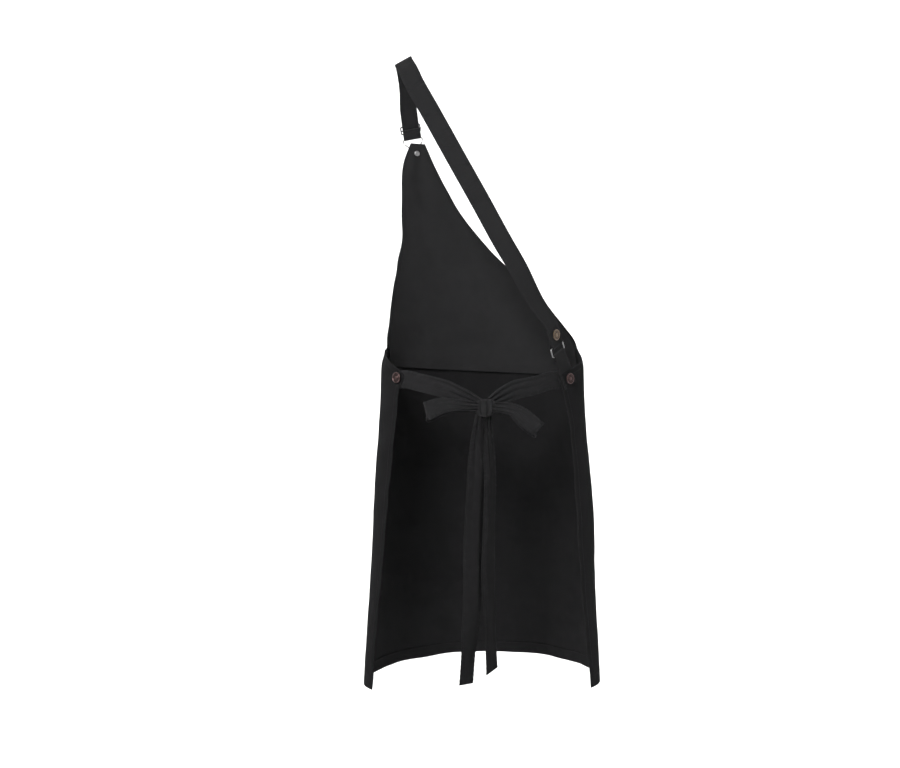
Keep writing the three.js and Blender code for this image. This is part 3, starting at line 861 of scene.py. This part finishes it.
def bib_topstitching():
    """Two rows of stitches beside each edge of the bib, on the outside and on the facing."""
    rows = []
    for edge, low in ((left_s, -440 * MM), (right_s, -450 * MM)):
        s, z, into_s, into_z = edge_line(edge, low, TIP_Z - 3 * MM, 400)
        for seam in (2.2 * MM, 8 * MM):
            rows += cloth_stitches(s + into_s * seam, z + into_z * seam, (CLOTH_MID, FACING_LAYER))
    return rows


POCKET_BOTTOM = -768 * MM
POCKET_TOP = -514 * MM
POCKET_CORNER = 14 * MM
POCKET_REACH = math.radians(52.5)
POCKET_FOLD = 0.3 * MM       # what the folded hem adds at the mouth
POCKET_HALF = float(arc_at(POCKET_REACH, np.array((POCKET_BOTTOM + POCKET_TOP) / 2)))


def pocket_mouth(s, z):
    """How far the mouth stands off the panel, most in the middle of each half."""
    opening = ramp(z, POCKET_TOP - 70 * MM, POCKET_TOP)
    return 1.6 * MM * opening * np.abs(np.sin(s / POCKET_HALF * math.pi))


def pocket_row(s, z, fold=0.0):
    """A row of stitches on the pocket's outer face."""
    s, z = np.broadcast_arrays(s, z)
    lift = POCKET_LAYER + CLOTH / 2 + (fold + pocket_mouth(s, z))
    return stitch_row(cloth(s, z, lift), out_of_body(angle_at(s, z), z))


def pocket_seams():
    """Two rows round the pocket, two down its middle, one along its hem, and three bar tacks."""
    seams = []
    down = np.linspace(POCKET_TOP - 1 * MM, POCKET_BOTTOM + 3 * MM, 160)
    straight = down[down > POCKET_BOTTOM + POCKET_CORNER]
    across = np.linspace(-POCKET_HALF + POCKET_CORNER, POCKET_HALF - POCKET_CORNER, 200)
    for inset in (2.2 * MM, 7.5 * MM):
        for side in (-1, 1):
            seams.append(pocket_row(side * (POCKET_HALF - inset), straight))
        seams.append(pocket_row(across, POCKET_BOTTOM + inset))
    for side in (-3 * MM, 3 * MM):
        seams.append(pocket_row(side, down))
    across = np.linspace(-POCKET_HALF + 3 * MM, POCKET_HALF - 3 * MM, 200)
    seams.append(pocket_row(across, POCKET_TOP - 19.5 * MM, POCKET_FOLD))
    for centre in (-POCKET_HALF + 5 * MM, 0.0, POCKET_HALF - 5 * MM):
        bar = np.linspace(centre - 4 * MM, centre + 4 * MM, 12)
        for k in range(5):
            seams.append(pocket_row(bar, POCKET_TOP - (2 + 0.55 * k) * MM, POCKET_FOLD))
    return seams


def front_pocket():
    """A wide patch pocket with a hemmed mouth, divided down its middle."""
    columns, rows = 130, 110
    z = np.linspace(POCKET_BOTTOM, POCKET_TOP, rows)[:, None] + np.zeros(columns)
    up = np.clip((z[:, :1] - POCKET_BOTTOM) / POCKET_CORNER, 0, 1)
    cut = POCKET_CORNER * (1 - np.sqrt(np.clip(1 - (1 - up) ** 2, 0, 1)))
    s = np.linspace(-1, 1, columns) * (POCKET_HALF - cut)
    edge = np.minimum(POCKET_HALF - np.abs(s), z - POCKET_BOTTOM)
    wear = 1 - ramp(np.minimum(edge, POCKET_TOP - z), 0.3 * MM, 1.8 * MM)
    fold = POCKET_FOLD * ramp(z, POCKET_TOP - 22 * MM, POCKET_TOP - 21 * MM)
    offset = POCKET_LAYER + pocket_mouth(s, z)
    pocket = surface_sheet("front_pocket_cloth", s, z, offset, wear, outer_fold=fold)
    place_piece(pocket, "apron", "panel", ["front_pocket"])
    return pocket, pocket_seams(), flat_cut(s, z)


# ------------------------------------------------------------ places shared with the CAD
def joint_place(name):
    return vec(*JOINTS[name]["pos_m"])


def joint_axis(name):
    return unit(vec(*JOINTS[name]["axis"]))


HOOK_BAR = joint_place("hook_rock")
HOOK_RIGHT = joint_axis("hook_rock")
BIB_OUT = joint_axis("bib_cap_turn")
HOOK_UP = unit(np.cross(HOOK_RIGHT, BIB_OUT))
HOOK_REACH = 25.5 * MM
FRONT_UP = joint_axis("slider_slide")
FRONT_OUT = unit(np.cross(FRONT_UP, HOOK_RIGHT))
FRONT_ACROSS = np.cross(FRONT_OUT, FRONT_UP)
FRONT_LOOP = 2.1 * MM
SLIDER_RISE = 16 * MM
RING_LOWER = joint_place("ring_rock")
RING_ACROSS = joint_axis("ring_rock")
RING_DOWN = unit(vec(0.2885, 0.3676, -0.884))
RING_OUT = unit(np.cross(RING_DOWN, RING_ACROSS))
RING_GAP = 14 * MM
RING_UPPER = RING_LOWER - RING_DOWN * RING_GAP
RING_LOOP = 2.5 * MM


def on_front_strap(rise, out):
    """A point rise millimetres up the front strap from the hook's bar, and out metres off it."""
    return HOOK_BAR + FRONT_UP * rise * MM + FRONT_OUT * out


def on_strap_end(rise, out):
    """The same above the ring's upper bar, at the strap's back end."""
    return RING_UPPER - RING_DOWN * rise * MM + RING_OUT * out


def hairpin(centre, axis, start, radius, count=14):
    """Points half a turn round a bar, from the side that start points to."""
    turn = np.linspace(0, math.pi, count)[:, None]
    side = np.cross(axis, start)
    return centre + radius * (start * np.cos(turn) + side * np.sin(turn))


# ------------------------------------------------------------ strap and tab
SEAT_SLOPE = math.radians(29)
SEAT_ACROSS = vec(math.cos(SEAT_SLOPE), 0, math.sin(SEAT_SLOPE))
SEAT_UP = vec(-math.sin(SEAT_SLOPE), 0, math.cos(SEAT_SLOPE))
# The strap's creases: how far along it in metres, and how much they lean.
CREASES = [
    (0.092, 0.7), (0.106, -0.6), (0.2, 0.4), (0.262, -0.5), (0.318, 0.5), (0.352, -0.3),
    (0.374, 0.7), (0.412, 0.6), (0.446, -0.6), (0.47, 0.5)]


def on_seat(x, y, z):
    """The middle of the strap's cloth, in millimetres from the shoulder seat."""
    return vec(x, y, z) * MM + SEAT_UP * CLOTH_MID


def strap_front():
    """The strap's line from the slider down round the hook's bar, and up over the shoulder."""
    turn = hairpin(HOOK_BAR, -FRONT_ACROSS, -FRONT_OUT, FRONT_LOOP)
    rise = [on_front_strap(r, FRONT_LOOP) for r in np.linspace(3, 50, 14)]
    shoulder = [on_seat(*place) for place in (
        (3, 52, -27.5), (1.5, 30, -8.5), (0.4, 17, -1.9), (0, 8, 0))]
    over = through([rise[-1], *shoulder], 30)[1:]
    seat = [on_seat(0, y, 0) for y in (4, 0, -4)]
    below = [on_front_strap(2, -FRONT_LOOP), *turn, *rise]
    across = np.vstack([
        [FRONT_ACROSS] * len(below),
        blend_rows([FRONT_ACROSS, SEAT_ACROSS], len(over) + 1)[1:],
        [SEAT_ACROSS] * len(seat)])
    return np.vstack([below, over, seat]), across


def strap_back():
    """The strap's line down the back and round the ring's upper bar, to its folded end."""
    count = 500
    knots = [on_seat(*place) for place in (
        (0, -8, 0), (0.6, -22, -3.2), (3.8, -45, -14), (12, -64, -31), (22, -77, -54),
        (48, -90, -102), (88, -103, -176), (122, -106, -237), (155, -104, -297))]
    knots += [from_middle(54.7, -100, -340), from_middle(79.7, -92, -386.5)]
    knots += [on_strap_end(rise, RING_LOOP) for rise in (32, 24, 12, 0.5)]
    turn = hairpin(RING_UPPER, RING_ACROSS, RING_OUT, RING_LOOP)
    folded = through([
        on_strap_end(1, -RING_LOOP), on_strap_end(6, -0.8 * MM),
        on_strap_end(11, RING_LOOP - LAYER_STEP), on_strap_end(28, RING_LOOP - LAYER_STEP)], 26)
    twisting = [vec(0.82, 0.2, 0.49), vec(0.7, 0.45, 0.48)]
    across = np.vstack([
        blend_rows(unit([SEAT_ACROSS] * 9 + twisting + [RING_ACROSS] * 4), count),
        [RING_ACROSS] * (len(turn) + len(folded))])
    return np.vstack([through(knots, count), turn, folded]), across


def creased(a, length):
    """Creases across the strap, each a sharp dip with a low ridge beyond it, and rolled edges."""
    total = 0
    for at, lean in CREASES:
        past = length - at - lean * 6 * MM * a
        deep = 0.7 + 0.3 * np.sin(3 * a + 90 * at)
        total = total + deep * (0.7 * bell(past, 4 * MM, 3 * MM) - 1.6 * bell(past, 0, 1.9 * MM))
    clear_of_rings = ramp(length, 60 * MM, 90 * MM) * (1 - ramp(length, 620 * MM, 680 * MM))
    return MM * total + clear_of_rings * rolled_edges(a, 0.5 * MM)


def shoulder_strap():
    """The adjustable strap, all of it but its stitched end."""
    middle, across = (np.vstack(parts) for parts in zip(strap_front(), strap_back()))
    strap, line = ribbon("shoulder_strap_cloth", middle, across, STRAP_WIDTH, STRAP_THICK,
                         lift=creased, pucker=0.15 * MM)
    place_piece(strap, "apron", "strap", ["shoulder_strap"])
    return sewn(strap, line, 9 * MM, STRAP_THICK)


def strap_end_loop():
    """The strap's stitched end: from the hook's bar up to the slider's middle bar and round it."""
    bar_loop = 2.0 * MM
    top = SLIDER_RISE / MM
    rise = [on_front_strap(r, -FRONT_LOOP) for r in np.linspace(1, top - 0.5, 14)]
    turn = hairpin(on_front_strap(top, 0), FRONT_ACROSS, -FRONT_OUT, bar_loop)[:11]
    middle = np.vstack([rise, turn])
    across = np.broadcast_to(FRONT_ACROSS, middle.shape)
    loop, _ = ribbon("strap_end_loop", middle, across, STRAP_WIDTH, thickness=1.1 * MM)
    loop.data.materials.append(MATERIALS["strap"])
    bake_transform(loop)
    return Sewn(loop, [], length_along(middle)[-1])


def ring_tab():
    """The folded tab that comes up inside the right side and goes round the ring's lower bar."""
    button = on_body_angle(joint_place("right_side_cap_turn"))
    ring_angle = on_body_angle(RING_LOWER)
    button_z = -505.5 * MM
    second_layer = CLOTH_MID - LAYER_STEP
    third_layer = second_layer - LAYER_STEP

    def beside(part, offset):
        angle = lerp(ring_angle, button, part)
        z = lerp(RING_LOWER[2], button_z, part)
        return on_body(angle, np.array(z), offset)

    turn = hairpin(RING_LOWER, -RING_ACROSS, RING_OUT, 2.1 * MM)
    up = [beside(part, second_layer) for part in (1.3, 1.1, 0.9, 0.7, 0.55)]
    down = [beside(part, third_layer) for part in (0.55, 0.7, 0.9, 1.1, 1.3)]
    outer = through([*up, beside(0.38, 0.2 * MM), beside(0.2, 1.4 * MM), turn[0]], 60)
    inner = through([turn[-1], beside(0.2, -2.6 * MM), beside(0.38, -3.2 * MM), *down], 60)
    middle = np.vstack([outer[:-1], turn, inner[1:]])
    from_ring = np.abs(np.arange(len(middle)) - len(middle) // 2)
    across = lerp(RING_ACROSS, unit(vec(0.62, 0.6, 0.5)), ramp(from_ring, 10, 45)[:, None])

    def hug(a, length):
        total = length.max()
        side = np.where(length < total / 2, -1, 1)
        near = ramp(np.abs(length - total / 2), 12 * MM, 30 * MM)
        return side * near * 1.25 * MM * a * a

    tab, line = ribbon("ring_tab_cloth", middle, across, STRAP_WIDTH, lift=hug)
    place_piece(tab, "apron", "strap", ["ring_tab"])
    return sewn(tab, line, 20 * MM)


# ------------------------------------------------------------ waist ties and bow
def pleats(a, count, start):
    """Rounded rolls with sharp creases between them, from -1 to 1."""
    return 2 * np.abs(np.sin(a * math.pi * count / 2 + start)) - 1


def rolled_edges(a, depth):
    """Both edges of a tie roll over towards the body."""
    return -depth * ramp(np.abs(a), 0.72, 1.0) ** 2


def gathers(count, depth, face, reach=60 * MM):
    """Pleats that run out of the knot at a tie's far end and fade along it."""
    def lift(a, length):
        away = length.max() - length
        fan = a * (1 - 0.15 * away / reach)
        pleat = depth * np.exp(-away / reach) * pleats(fan, count, 0.5)
        return face * (pleat + rolled_edges(a, 1.4 * MM))
    return lift


def read_knots(knots):
    """Places, widths and directions across, from rows of x, y, z, width in mm and direction."""
    places = [from_middle(*knot[:3]) for knot in knots]
    widths = [knot[3] * MM for knot in knots]
    return places, widths, [knot[4] for knot in knots]


def waist_tie(side, toward, layers, inside_edge, free_knots):
    """A tie from inside the flap to the knot, gathered where it goes in."""
    name = "waist_tie_" + side
    places, widths, turns = read_knots(free_knots)
    cap = joint_place(side + "_side_cap_turn")
    angle = math.degrees(on_body_angle(cap))
    tie_z = cap[2] - 3 * MM
    inside = CLOTH_MID - layers * LAYER_STEP
    lying = [on_body(math.radians(angle + toward * degrees), np.array(tie_z), inside)
             for degrees in (-13, -6, 0, 4, inside_edge)]
    leaving = math.radians(angle + toward * (inside_edge + 3))
    lying.append(on_body(leaving, np.array(tie_z - 1 * MM), inside))
    count = 150
    middle = through(lying + places, count)
    width = blend_rows([TIE_WIDTH] * len(lying) + widths, count)
    across = blend_rows([UP] * len(lying) + turns, count)
    gathered = gathers(3.4, 2.6 * MM, -toward)
    tie, line = ribbon(name + "_cloth", middle, across, width, lift=gathered)
    place_piece(tie, "apron", "tie", [name])
    return sewn(tie, line, 3 * MM)


def waist_ties():
    """Both ties, with their free knots from the flaps to the bow."""
    lean_left = vec(-0.25, 0, 1)
    lean_right = vec(0.22, 0, 1)
    left = waist_tie("left", -1, 1, 7, [
        (-95, -80, -512, 28, UP), (-58, -93, -521.6, 28, lean_right),
        (-28, -101, -534, 25, lean_right), (-4, -105, -544, 16, lean_right)])
    right = waist_tie("right", 1, 3, 12, [
        (81.3, -84, -516, 28, UP), (50, -95, -523, 29, lean_left),
        (32, -101, -531, 26, lean_left), (12, -105, -542, 17, lean_left)])
    return left, right


def bow_loop(side, knots):
    """A loop of tie: out from the knot in front, round its end and back behind."""
    name = "bow_loop_" + side
    places, widths, across = read_knots(knots)
    gap = [lerp(1.4, 4.6, i / (len(knots) - 1)) * MM for i in range(len(knots))]
    front = [place - vec(0, g, 0) for place, g in zip(places, gap)]
    back = [place + vec(0, 1.3 * g, -0.9 * g) for place, g in zip(places, gap)][::-1]
    outward = unit(places[-1] - places[-2])
    face = np.sign(outward[0])
    tip = places[-1] + outward * 4 * MM
    count = 150
    middle = through([*front, tip, *back], count)
    across = blend_rows([*across, across[-1], *across[::-1]], count)
    width = blend_rows([*widths, widths[-1], *widths[::-1]], count)

    def lift(a, length):
        total = length.max()
        away = np.minimum(length, total - length)
        pleat = 2.4 * MM * np.exp(-away / (34 * MM)) * pleats(a, 3, 0.4)
        belly = 2.0 * MM * np.sin(np.pi * np.clip(away / (total / 2), 0, 1)) * (1 - a * a)
        return np.where(length < total / 2, face, -face) * (pleat + belly)

    loop, line = ribbon(name + "_cloth", middle, across, width, lift=lift)
    place_piece(loop, "apron", "tie", [name])
    return sewn(loop, line, 4 * MM)


def bow_loops():
    """Both loops of the bow, with their knots from the middle out."""
    left = bow_loop("left", [
        (-6, -112, -548, 13, UP), (-41, -116, -545.5, 18, UP),
        (-63.8, -117, -547, 25, UP), (-81, -116, -553.5, 28, vec(-0.2, 0, 1))])
    right = bow_loop("right", [
        (15, -112, -548, 14, UP), (46, -117, -553, 20, vec(0.2, 0, 1)),
        (62, -118, -564, 26, vec(0.45, 0, 0.9)), (81, -117, -579, 24, vec(0.6, -0.2, 0.8))])
    return left, right


def bow_knot():
    """The knot: a band wrapped round the gathered ties, pleated from top to bottom."""
    low, high = (vec(*corner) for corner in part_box("bow_knot"))
    middle = (low + high) / 2
    half = (high - low) / 2
    around, levels = 120, 40
    turn = circle(around)[None, :]
    rise = np.linspace(-1, 1, levels)[:, None] * math.pi / 2 * 0.97
    press = 0.62

    def squared(value):
        return np.sign(value) * np.abs(value) ** press

    slant = 0.5 + 0.35 * np.sin(rise * 2) + 0.2 * np.sin(turn * 3)
    rolls = 0.2 * pleats(turn, 10 / math.pi, slant) + 0.03 * np.sin(turn * 23 + 3 * rise)
    swell = 0.86 + rolls * np.cos(rise) ** 0.3 + 0.05 * np.sin(turn * 2 + 1)
    x = squared(np.cos(turn)) * squared(np.cos(rise)) * swell
    y = squared(np.sin(turn)) * squared(np.cos(rise)) * swell
    z = squared(np.sin(rise)) + 0 * turn
    x = x * (1 - 0.16 * ramp(z, -0.2, -1.0)) + 0.06 * z
    points = middle + np.stack([x, y, z], axis=-1) * half
    uv = np.stack(np.broadcast_arrays(turn * 12 * MM, rise * 10 * MM), axis=-1)
    # The crests of the rolls are coloured paler, through the wear attribute.
    wear = np.broadcast_to(0.6 * ramp(rolls, 0.05, 0.11), z.shape)
    knot = tube("bow_knot_cloth", points, uv, wear)
    place_piece(knot, "apron", "tie", ["bow_knot"])
    return knot


def tail(side, slant, rolled, knots):
    """A tie's end hanging from the knot, with one edge rolled, cut at a slant."""
    name = "tie_tail_" + side
    places, widths, across = read_knots(knots)
    count = 300
    middle = through(places, count)
    across = blend_rows(unit(across), count)
    width = blend_rows(widths, count)

    def lift(a, length):
        pleat = 2.4 * MM * np.exp(-length / (50 * MM)) * pleats(a, 2.4, 0.8)
        roll = 6 * MM * ramp(rolled * a, 0.4, 1.0) ** 2 * (1 - ramp(length, 230 * MM, 320 * MM))
        curl = 1.2 * MM * np.sin(length * 26 + 1) * a + 1.6 * MM * a * a * np.sin(length * 15)
        return pleat - roll + curl * ramp(length, 20 * MM, 120 * MM)

    end, line = ribbon(name + "_cloth", middle, across, width, lift=lift)
    cut_slanted(end, middle, slant)
    place_piece(end, side + "_tail", "tail", [name])
    return sewn(end, line, 6 * MM)


def cut_slanted(obj, middle, slant):
    """Leans the last stations of a tail so that its end is cut at a slant."""
    around = len(full_section(FLAT_SECTION))
    reach = 40
    first = len(middle) - reach
    for step in range(reach):
        station = first + step
        part = step / (reach - 1)
        for vertex in obj.data.vertices[station * around:(station + 1) * around]:
            side = (vertex.co.x - middle[station][0]) / (TIE_WIDTH / 2)
            vertex.co.z += slant * part * side


def tie_tails():
    """Both ends of the ties, with their knots from the bow down."""
    top = JOINTS["left_tail_swing"]["pos_m"][2] / MM
    facing = vec(1, 0.08, 0)
    turned = vec(0.53, 0.85, 0)
    curling = vec(1, 0.75, 0)
    left = tail("left", 0.5 * MM, 1, [
        (-4.5, -110, top + 5, 12, facing), (-5, -111, top - 4, 14, facing),
        (-8, -111, -600, 20, facing), (-9.3, -111, -643, 27, facing),
        (-14.3, -111, -755, 28, facing), (-15, -111, -838, 28, vec(1, 0.2, 0)),
        (-20.6, -111, -920, 28, curling), (-24.3, -111, -965, 28, curling)])
    right = tail("right", 5 * MM, -1, [
        (9, -104, top + 5, 9, facing), (9, -103, top - 4, 11, facing),
        (10.5, -103, -600, 16, vec(0.75, 0.6, 0)), (13, -104, -640, 23, turned),
        (13, -104, -673, 27, turned), (11.5, -104, -755, 28, turned),
        (12, -104, -838, 28, turned), (14.8, -104, -947, 29, vec(0.66, 0.75, 0))])
    return left, right


# ------------------------------------------------------------ metal pieces
def wire(name, points, radius=WIRE_RADIUS, closed=True, around=14):
    """A round wire along a line that lies in one plane."""
    points = np.asarray(points, float)
    if closed:
        along = unit(np.roll(points, -1, axis=0) - np.roll(points, 1, axis=0))
    else:
        along = along_of(points)
    middle = points.mean(axis=0)
    flat = np.linalg.svd(points - middle)[2][2]
    side = unit(np.cross(along, flat))
    turn = circle(around)
    rings = (points[:, None] + radius * side[:, None] * np.cos(turn)[None, :, None]
             + radius * flat * np.sin(turn)[None, :, None])
    return tube(name, rings, None, None, closed)


def arc(centre, radius, start, end, count):
    """Points of a flat arc, from one angle to another in degrees."""
    turn = np.radians(np.linspace(start, end, count))[:, None]
    return np.array(centre) + radius * np.hstack([np.cos(turn), np.sin(turn)])


def bezier(a, b, c, d, count):
    t = np.linspace(0, 1, count)[:, None]
    a, b, c, d = map(np.array, (a, b, c, d))
    return a * (1 - t) ** 3 + 3 * b * t * (1 - t) ** 2 + 3 * c * t * t * (1 - t) + d * t ** 3


def level_line(start, end, height, count=8):
    return np.column_stack([np.linspace(start, end, count), np.full(count, float(height))])


def rounded_half(across, top, bottom, corner):
    """The right half of a round-cornered rectangle, from its top middle to its bottom middle."""
    inner = across - corner
    return np.vstack([
        level_line(0, inner, top)[:-1], arc((inner, top - corner), corner, 90, 0, 8),
        arc((inner, bottom + corner), corner, 0, -90, 8), level_line(inner, 0, bottom)[1:]])


def mirrored(half):
    """The closed outline whose right half is given."""
    return np.vstack([half, (half * [-1, 1])[-2:0:-1]])


def in_plane(flat, origin, right, up):
    """Flat points in millimetres, set in a plane in space."""
    return origin + flat[:, :1] * MM * right + flat[:, 1:] * MM * up


def dungaree_hook():
    """A wire bar for the strap, whose ends come down to a keyhole that holds the bib's button."""
    reach = HOOK_REACH / MM
    shoulder, neck, hole = (17, reach - 2.4), (5, 7.2), 5.6
    half = np.vstack([
        level_line(0, 14.5, reach), arc((15, reach - 2), 2, 90, 0, 7),
        bezier(shoulder, (17, reach - 9), (5.4, 11), neck, 18)[:-1],
        bezier(neck, (4.9, 5), (hole, 3.4), (hole, 0), 8)[:-1],
        arc((0, 0), hole, 0, -90, 10)])
    origin = HOOK_BAR - HOOK_UP * HOOK_REACH
    hook = wire("hook_wire", in_plane(mirrored(half), origin, HOOK_RIGHT, HOOK_UP))
    return place_piece(hook, "hook", "nickel", ["dungaree_hook"])


def strap_ring():
    """A rectangular wire ring with rounded corners."""
    half = rounded_half(17.25, RING_GAP / MM, 0, 3)
    ring = wire("ring_wire", in_plane(mirrored(half), RING_LOWER, RING_ACROSS, -RING_DOWN))
    return place_piece(ring, "ring", "nickel", ["strap_ring"])


def strap_slider():
    """A three-bar slider: a round-cornered frame, and a middle bar that dips behind the strap."""
    thick = 1.1 * MM
    outer = FRONT_LOOP + 2.0 * MM
    across, rise, bend = 17.1, 6, 1.6
    centre = on_front_strap(SLIDER_RISE / MM, outer)
    frame_line = mirrored(rounded_half(across, rise, -rise, 2))
    rim = wire("slider_frame", in_plane(frame_line, centre, FRONT_ACROSS, FRONT_UP), thick)
    side = np.vstack([
        level_line(0, across - bend, 0, 10)[:-1], arc((across - bend, bend), bend, -90, 0, 7),
        [[across, outer / MM]]])
    dip = np.vstack([(side * [-1, 1])[::-1], side[1:]])
    lowest = on_front_strap(SLIDER_RISE / MM, 0)
    bar = wire("slider_bar", in_plane(dip, lowest, FRONT_ACROSS, FRONT_OUT), thick, closed=False)
    place_piece(rim, "slider", "black", ["strap_slider"])
    place_piece(bar, "slider", "black")


def spokes_of(out):
    """Two directions square to each other and to out."""
    side = unit(np.cross(out, UP))
    return side, np.cross(side, out)


def lathe(name, profile, at, out, around=64):
    """A turned piece: profile is [radius, height along out] in millimetres, from axis to axis."""
    profile = np.array(profile, float)[1:-1]
    side, other = spokes_of(out)
    turn = circle(around)
    spokes = side * np.cos(turn)[:, None] + other * np.sin(turn)[:, None]
    rings = at + profile[:, None, :1] * MM * spokes + profile[:, None, 1:] * MM * out
    height = profile[:, 1]
    proud = ramp(height, height.max() - 0.75, height.max() - 0.1)
    return tube(name, rings, None, np.repeat(proud, around))


# A button's outline from its cap's underside to its middle: radius, height above the rim.
CAP_FACE = [
    [3.5, -0.2], [3.7, 0], [8.0, 0], [8.35, 0.25], [8.5, 0.75], [8.4, 1.25], [8.1, 1.65],
    [7.6, 1.9], [7.1, 1.85], [6.75, 1.5], [6.5, 1.05], [5.7, 1.0], [5.4, 1.3], [4.9, 1.5],
    [4.4, 1.3], [4.1, 1.05], [3.3, 1.1], [2.9, 1.5], [2.2, 1.75], [1.2, 1.88], [0.3, 1.9],
    [0, 1.9]]
# The head of its tack, from the middle of its back: radius, height above the head's front.
TACK_HEAD = [
    [0, -0.9], [0.4, -0.95], [2.6, -1.0], [3.6, -0.9], [4.2, -0.65], [4.5, -0.35],
    [4.45, -0.08], [4.3, 0], [1.4, 0]]


def button_cap(place, clear, material):
    """A tack button's cap: rolled rim, sunk field, and a raised boss in a ring of beads."""
    rim = 0.4 + clear
    roof = rim + 0.6
    socket = [[0, roof], [1.0, roof], [1.7, roof], [1.7, 0.4], [3.4, 0.4], [3.5, 0.6]]
    profile = socket + [[radius, rim + height] for radius, height in CAP_FACE]
    joint = place + "_cap_turn"
    cap = lathe(place + "_button_dome", profile, joint_place(joint), joint_axis(joint))
    beads(cap, joint, rim)
    return place_piece(cap, place + "_cap", material, [place + "_button_cap"])


def beads(cap, joint, rim):
    """Raises small beads round the cap's inner ring."""
    at, out = joint_place(joint), joint_axis(joint)
    side, other = spokes_of(out)
    count = 16
    for vertex in cap.data.vertices:
        local = np.array(vertex.co) - at
        height = local @ out / MM
        radius = math.hypot(local @ side, local @ other) / MM
        if 4.4 < radius < 5.4 and height > rim + 1:
            turn = math.atan2(local @ other, local @ side)
            vertex.co = np.array(vertex.co) + out * 0.16 * MM * math.cos(turn * count)


def button_tack(place, layers):
    """The tack through the layers of cloth behind a cap."""
    back = -((layers - 1) * LAYER_STEP / MM + 1.0 + 0.4)
    head = [[radius, back + height] for radius, height in TACK_HEAD]
    joint = place + "_cap_turn"
    tack = lathe(place + "_button_nail", head + [[1.4, 1.8], [1.1, 2.0], [0, 2.0]],
                 joint_place(joint), joint_axis(joint), around=48)
    return place_piece(tack, "apron", "tack", [place + "_button_tack"])


def buttons():
    """The four tack buttons. The bib's stands off its cloth, to leave room for the hook's wire."""
    plain, hooked = 1.4, 5.2
    for place, clear, material, layers in (
            ("bib", hooked, "brass", 2), ("strap", plain, "brass", 2),
            ("left_side", plain, "copper", 2), ("right_side", plain, "copper", 4)):
        button_cap(place, clear, material)
        button_tack(place, layers)


# ------------------------------------------------------------ assembly
def sew(name, rows, body="apron"):
    return place_piece(stitches(name, rows), body, "thread")


look()
backdrop()
lighting()

panel, panel_cut = body_panel()
left_hem, left_rows = side_hem("left_side_hem", left_s, -462 * MM)
right_hem, right_rows = side_hem("right_side_hem", right_s, -470 * MM)
hem, hem_rows = bottom_hem()
facing, facing_rows, facing_cut = bib_facing()
pocket, pocket_rows, pocket_cut = front_pocket()
panel_thread = sew("panel_stitching", left_rows + right_rows + hem_rows + bib_topstitching())
facing_thread = sew("facing_stitching", facing_rows)
pocket_thread = sew("pocket_stitching", pocket_rows)

strap, end_loop, tab = shoulder_strap(), strap_end_loop(), ring_tab()
strap_thread = sew("strap_stitching", strap.rows)
tab_thread = sew("tab_stitching", tab.rows)

tie_left, tie_right = waist_ties()
loop_left, loop_right = bow_loops()
knot = bow_knot()
tie_rows = tie_left.rows + tie_right.rows + loop_left.rows + loop_right.rows
tie_thread = sew("tie_stitching", tie_rows)
tail_left, tail_right = tie_tails()
left_tail_thread = sew("left_tail_stitching", tail_left.rows, "left_tail")
right_tail_thread = sew("right_tail_stitching", tail_right.rows, "right_tail")

dungaree_hook()
strap_ring()
strap_slider()
buttons()
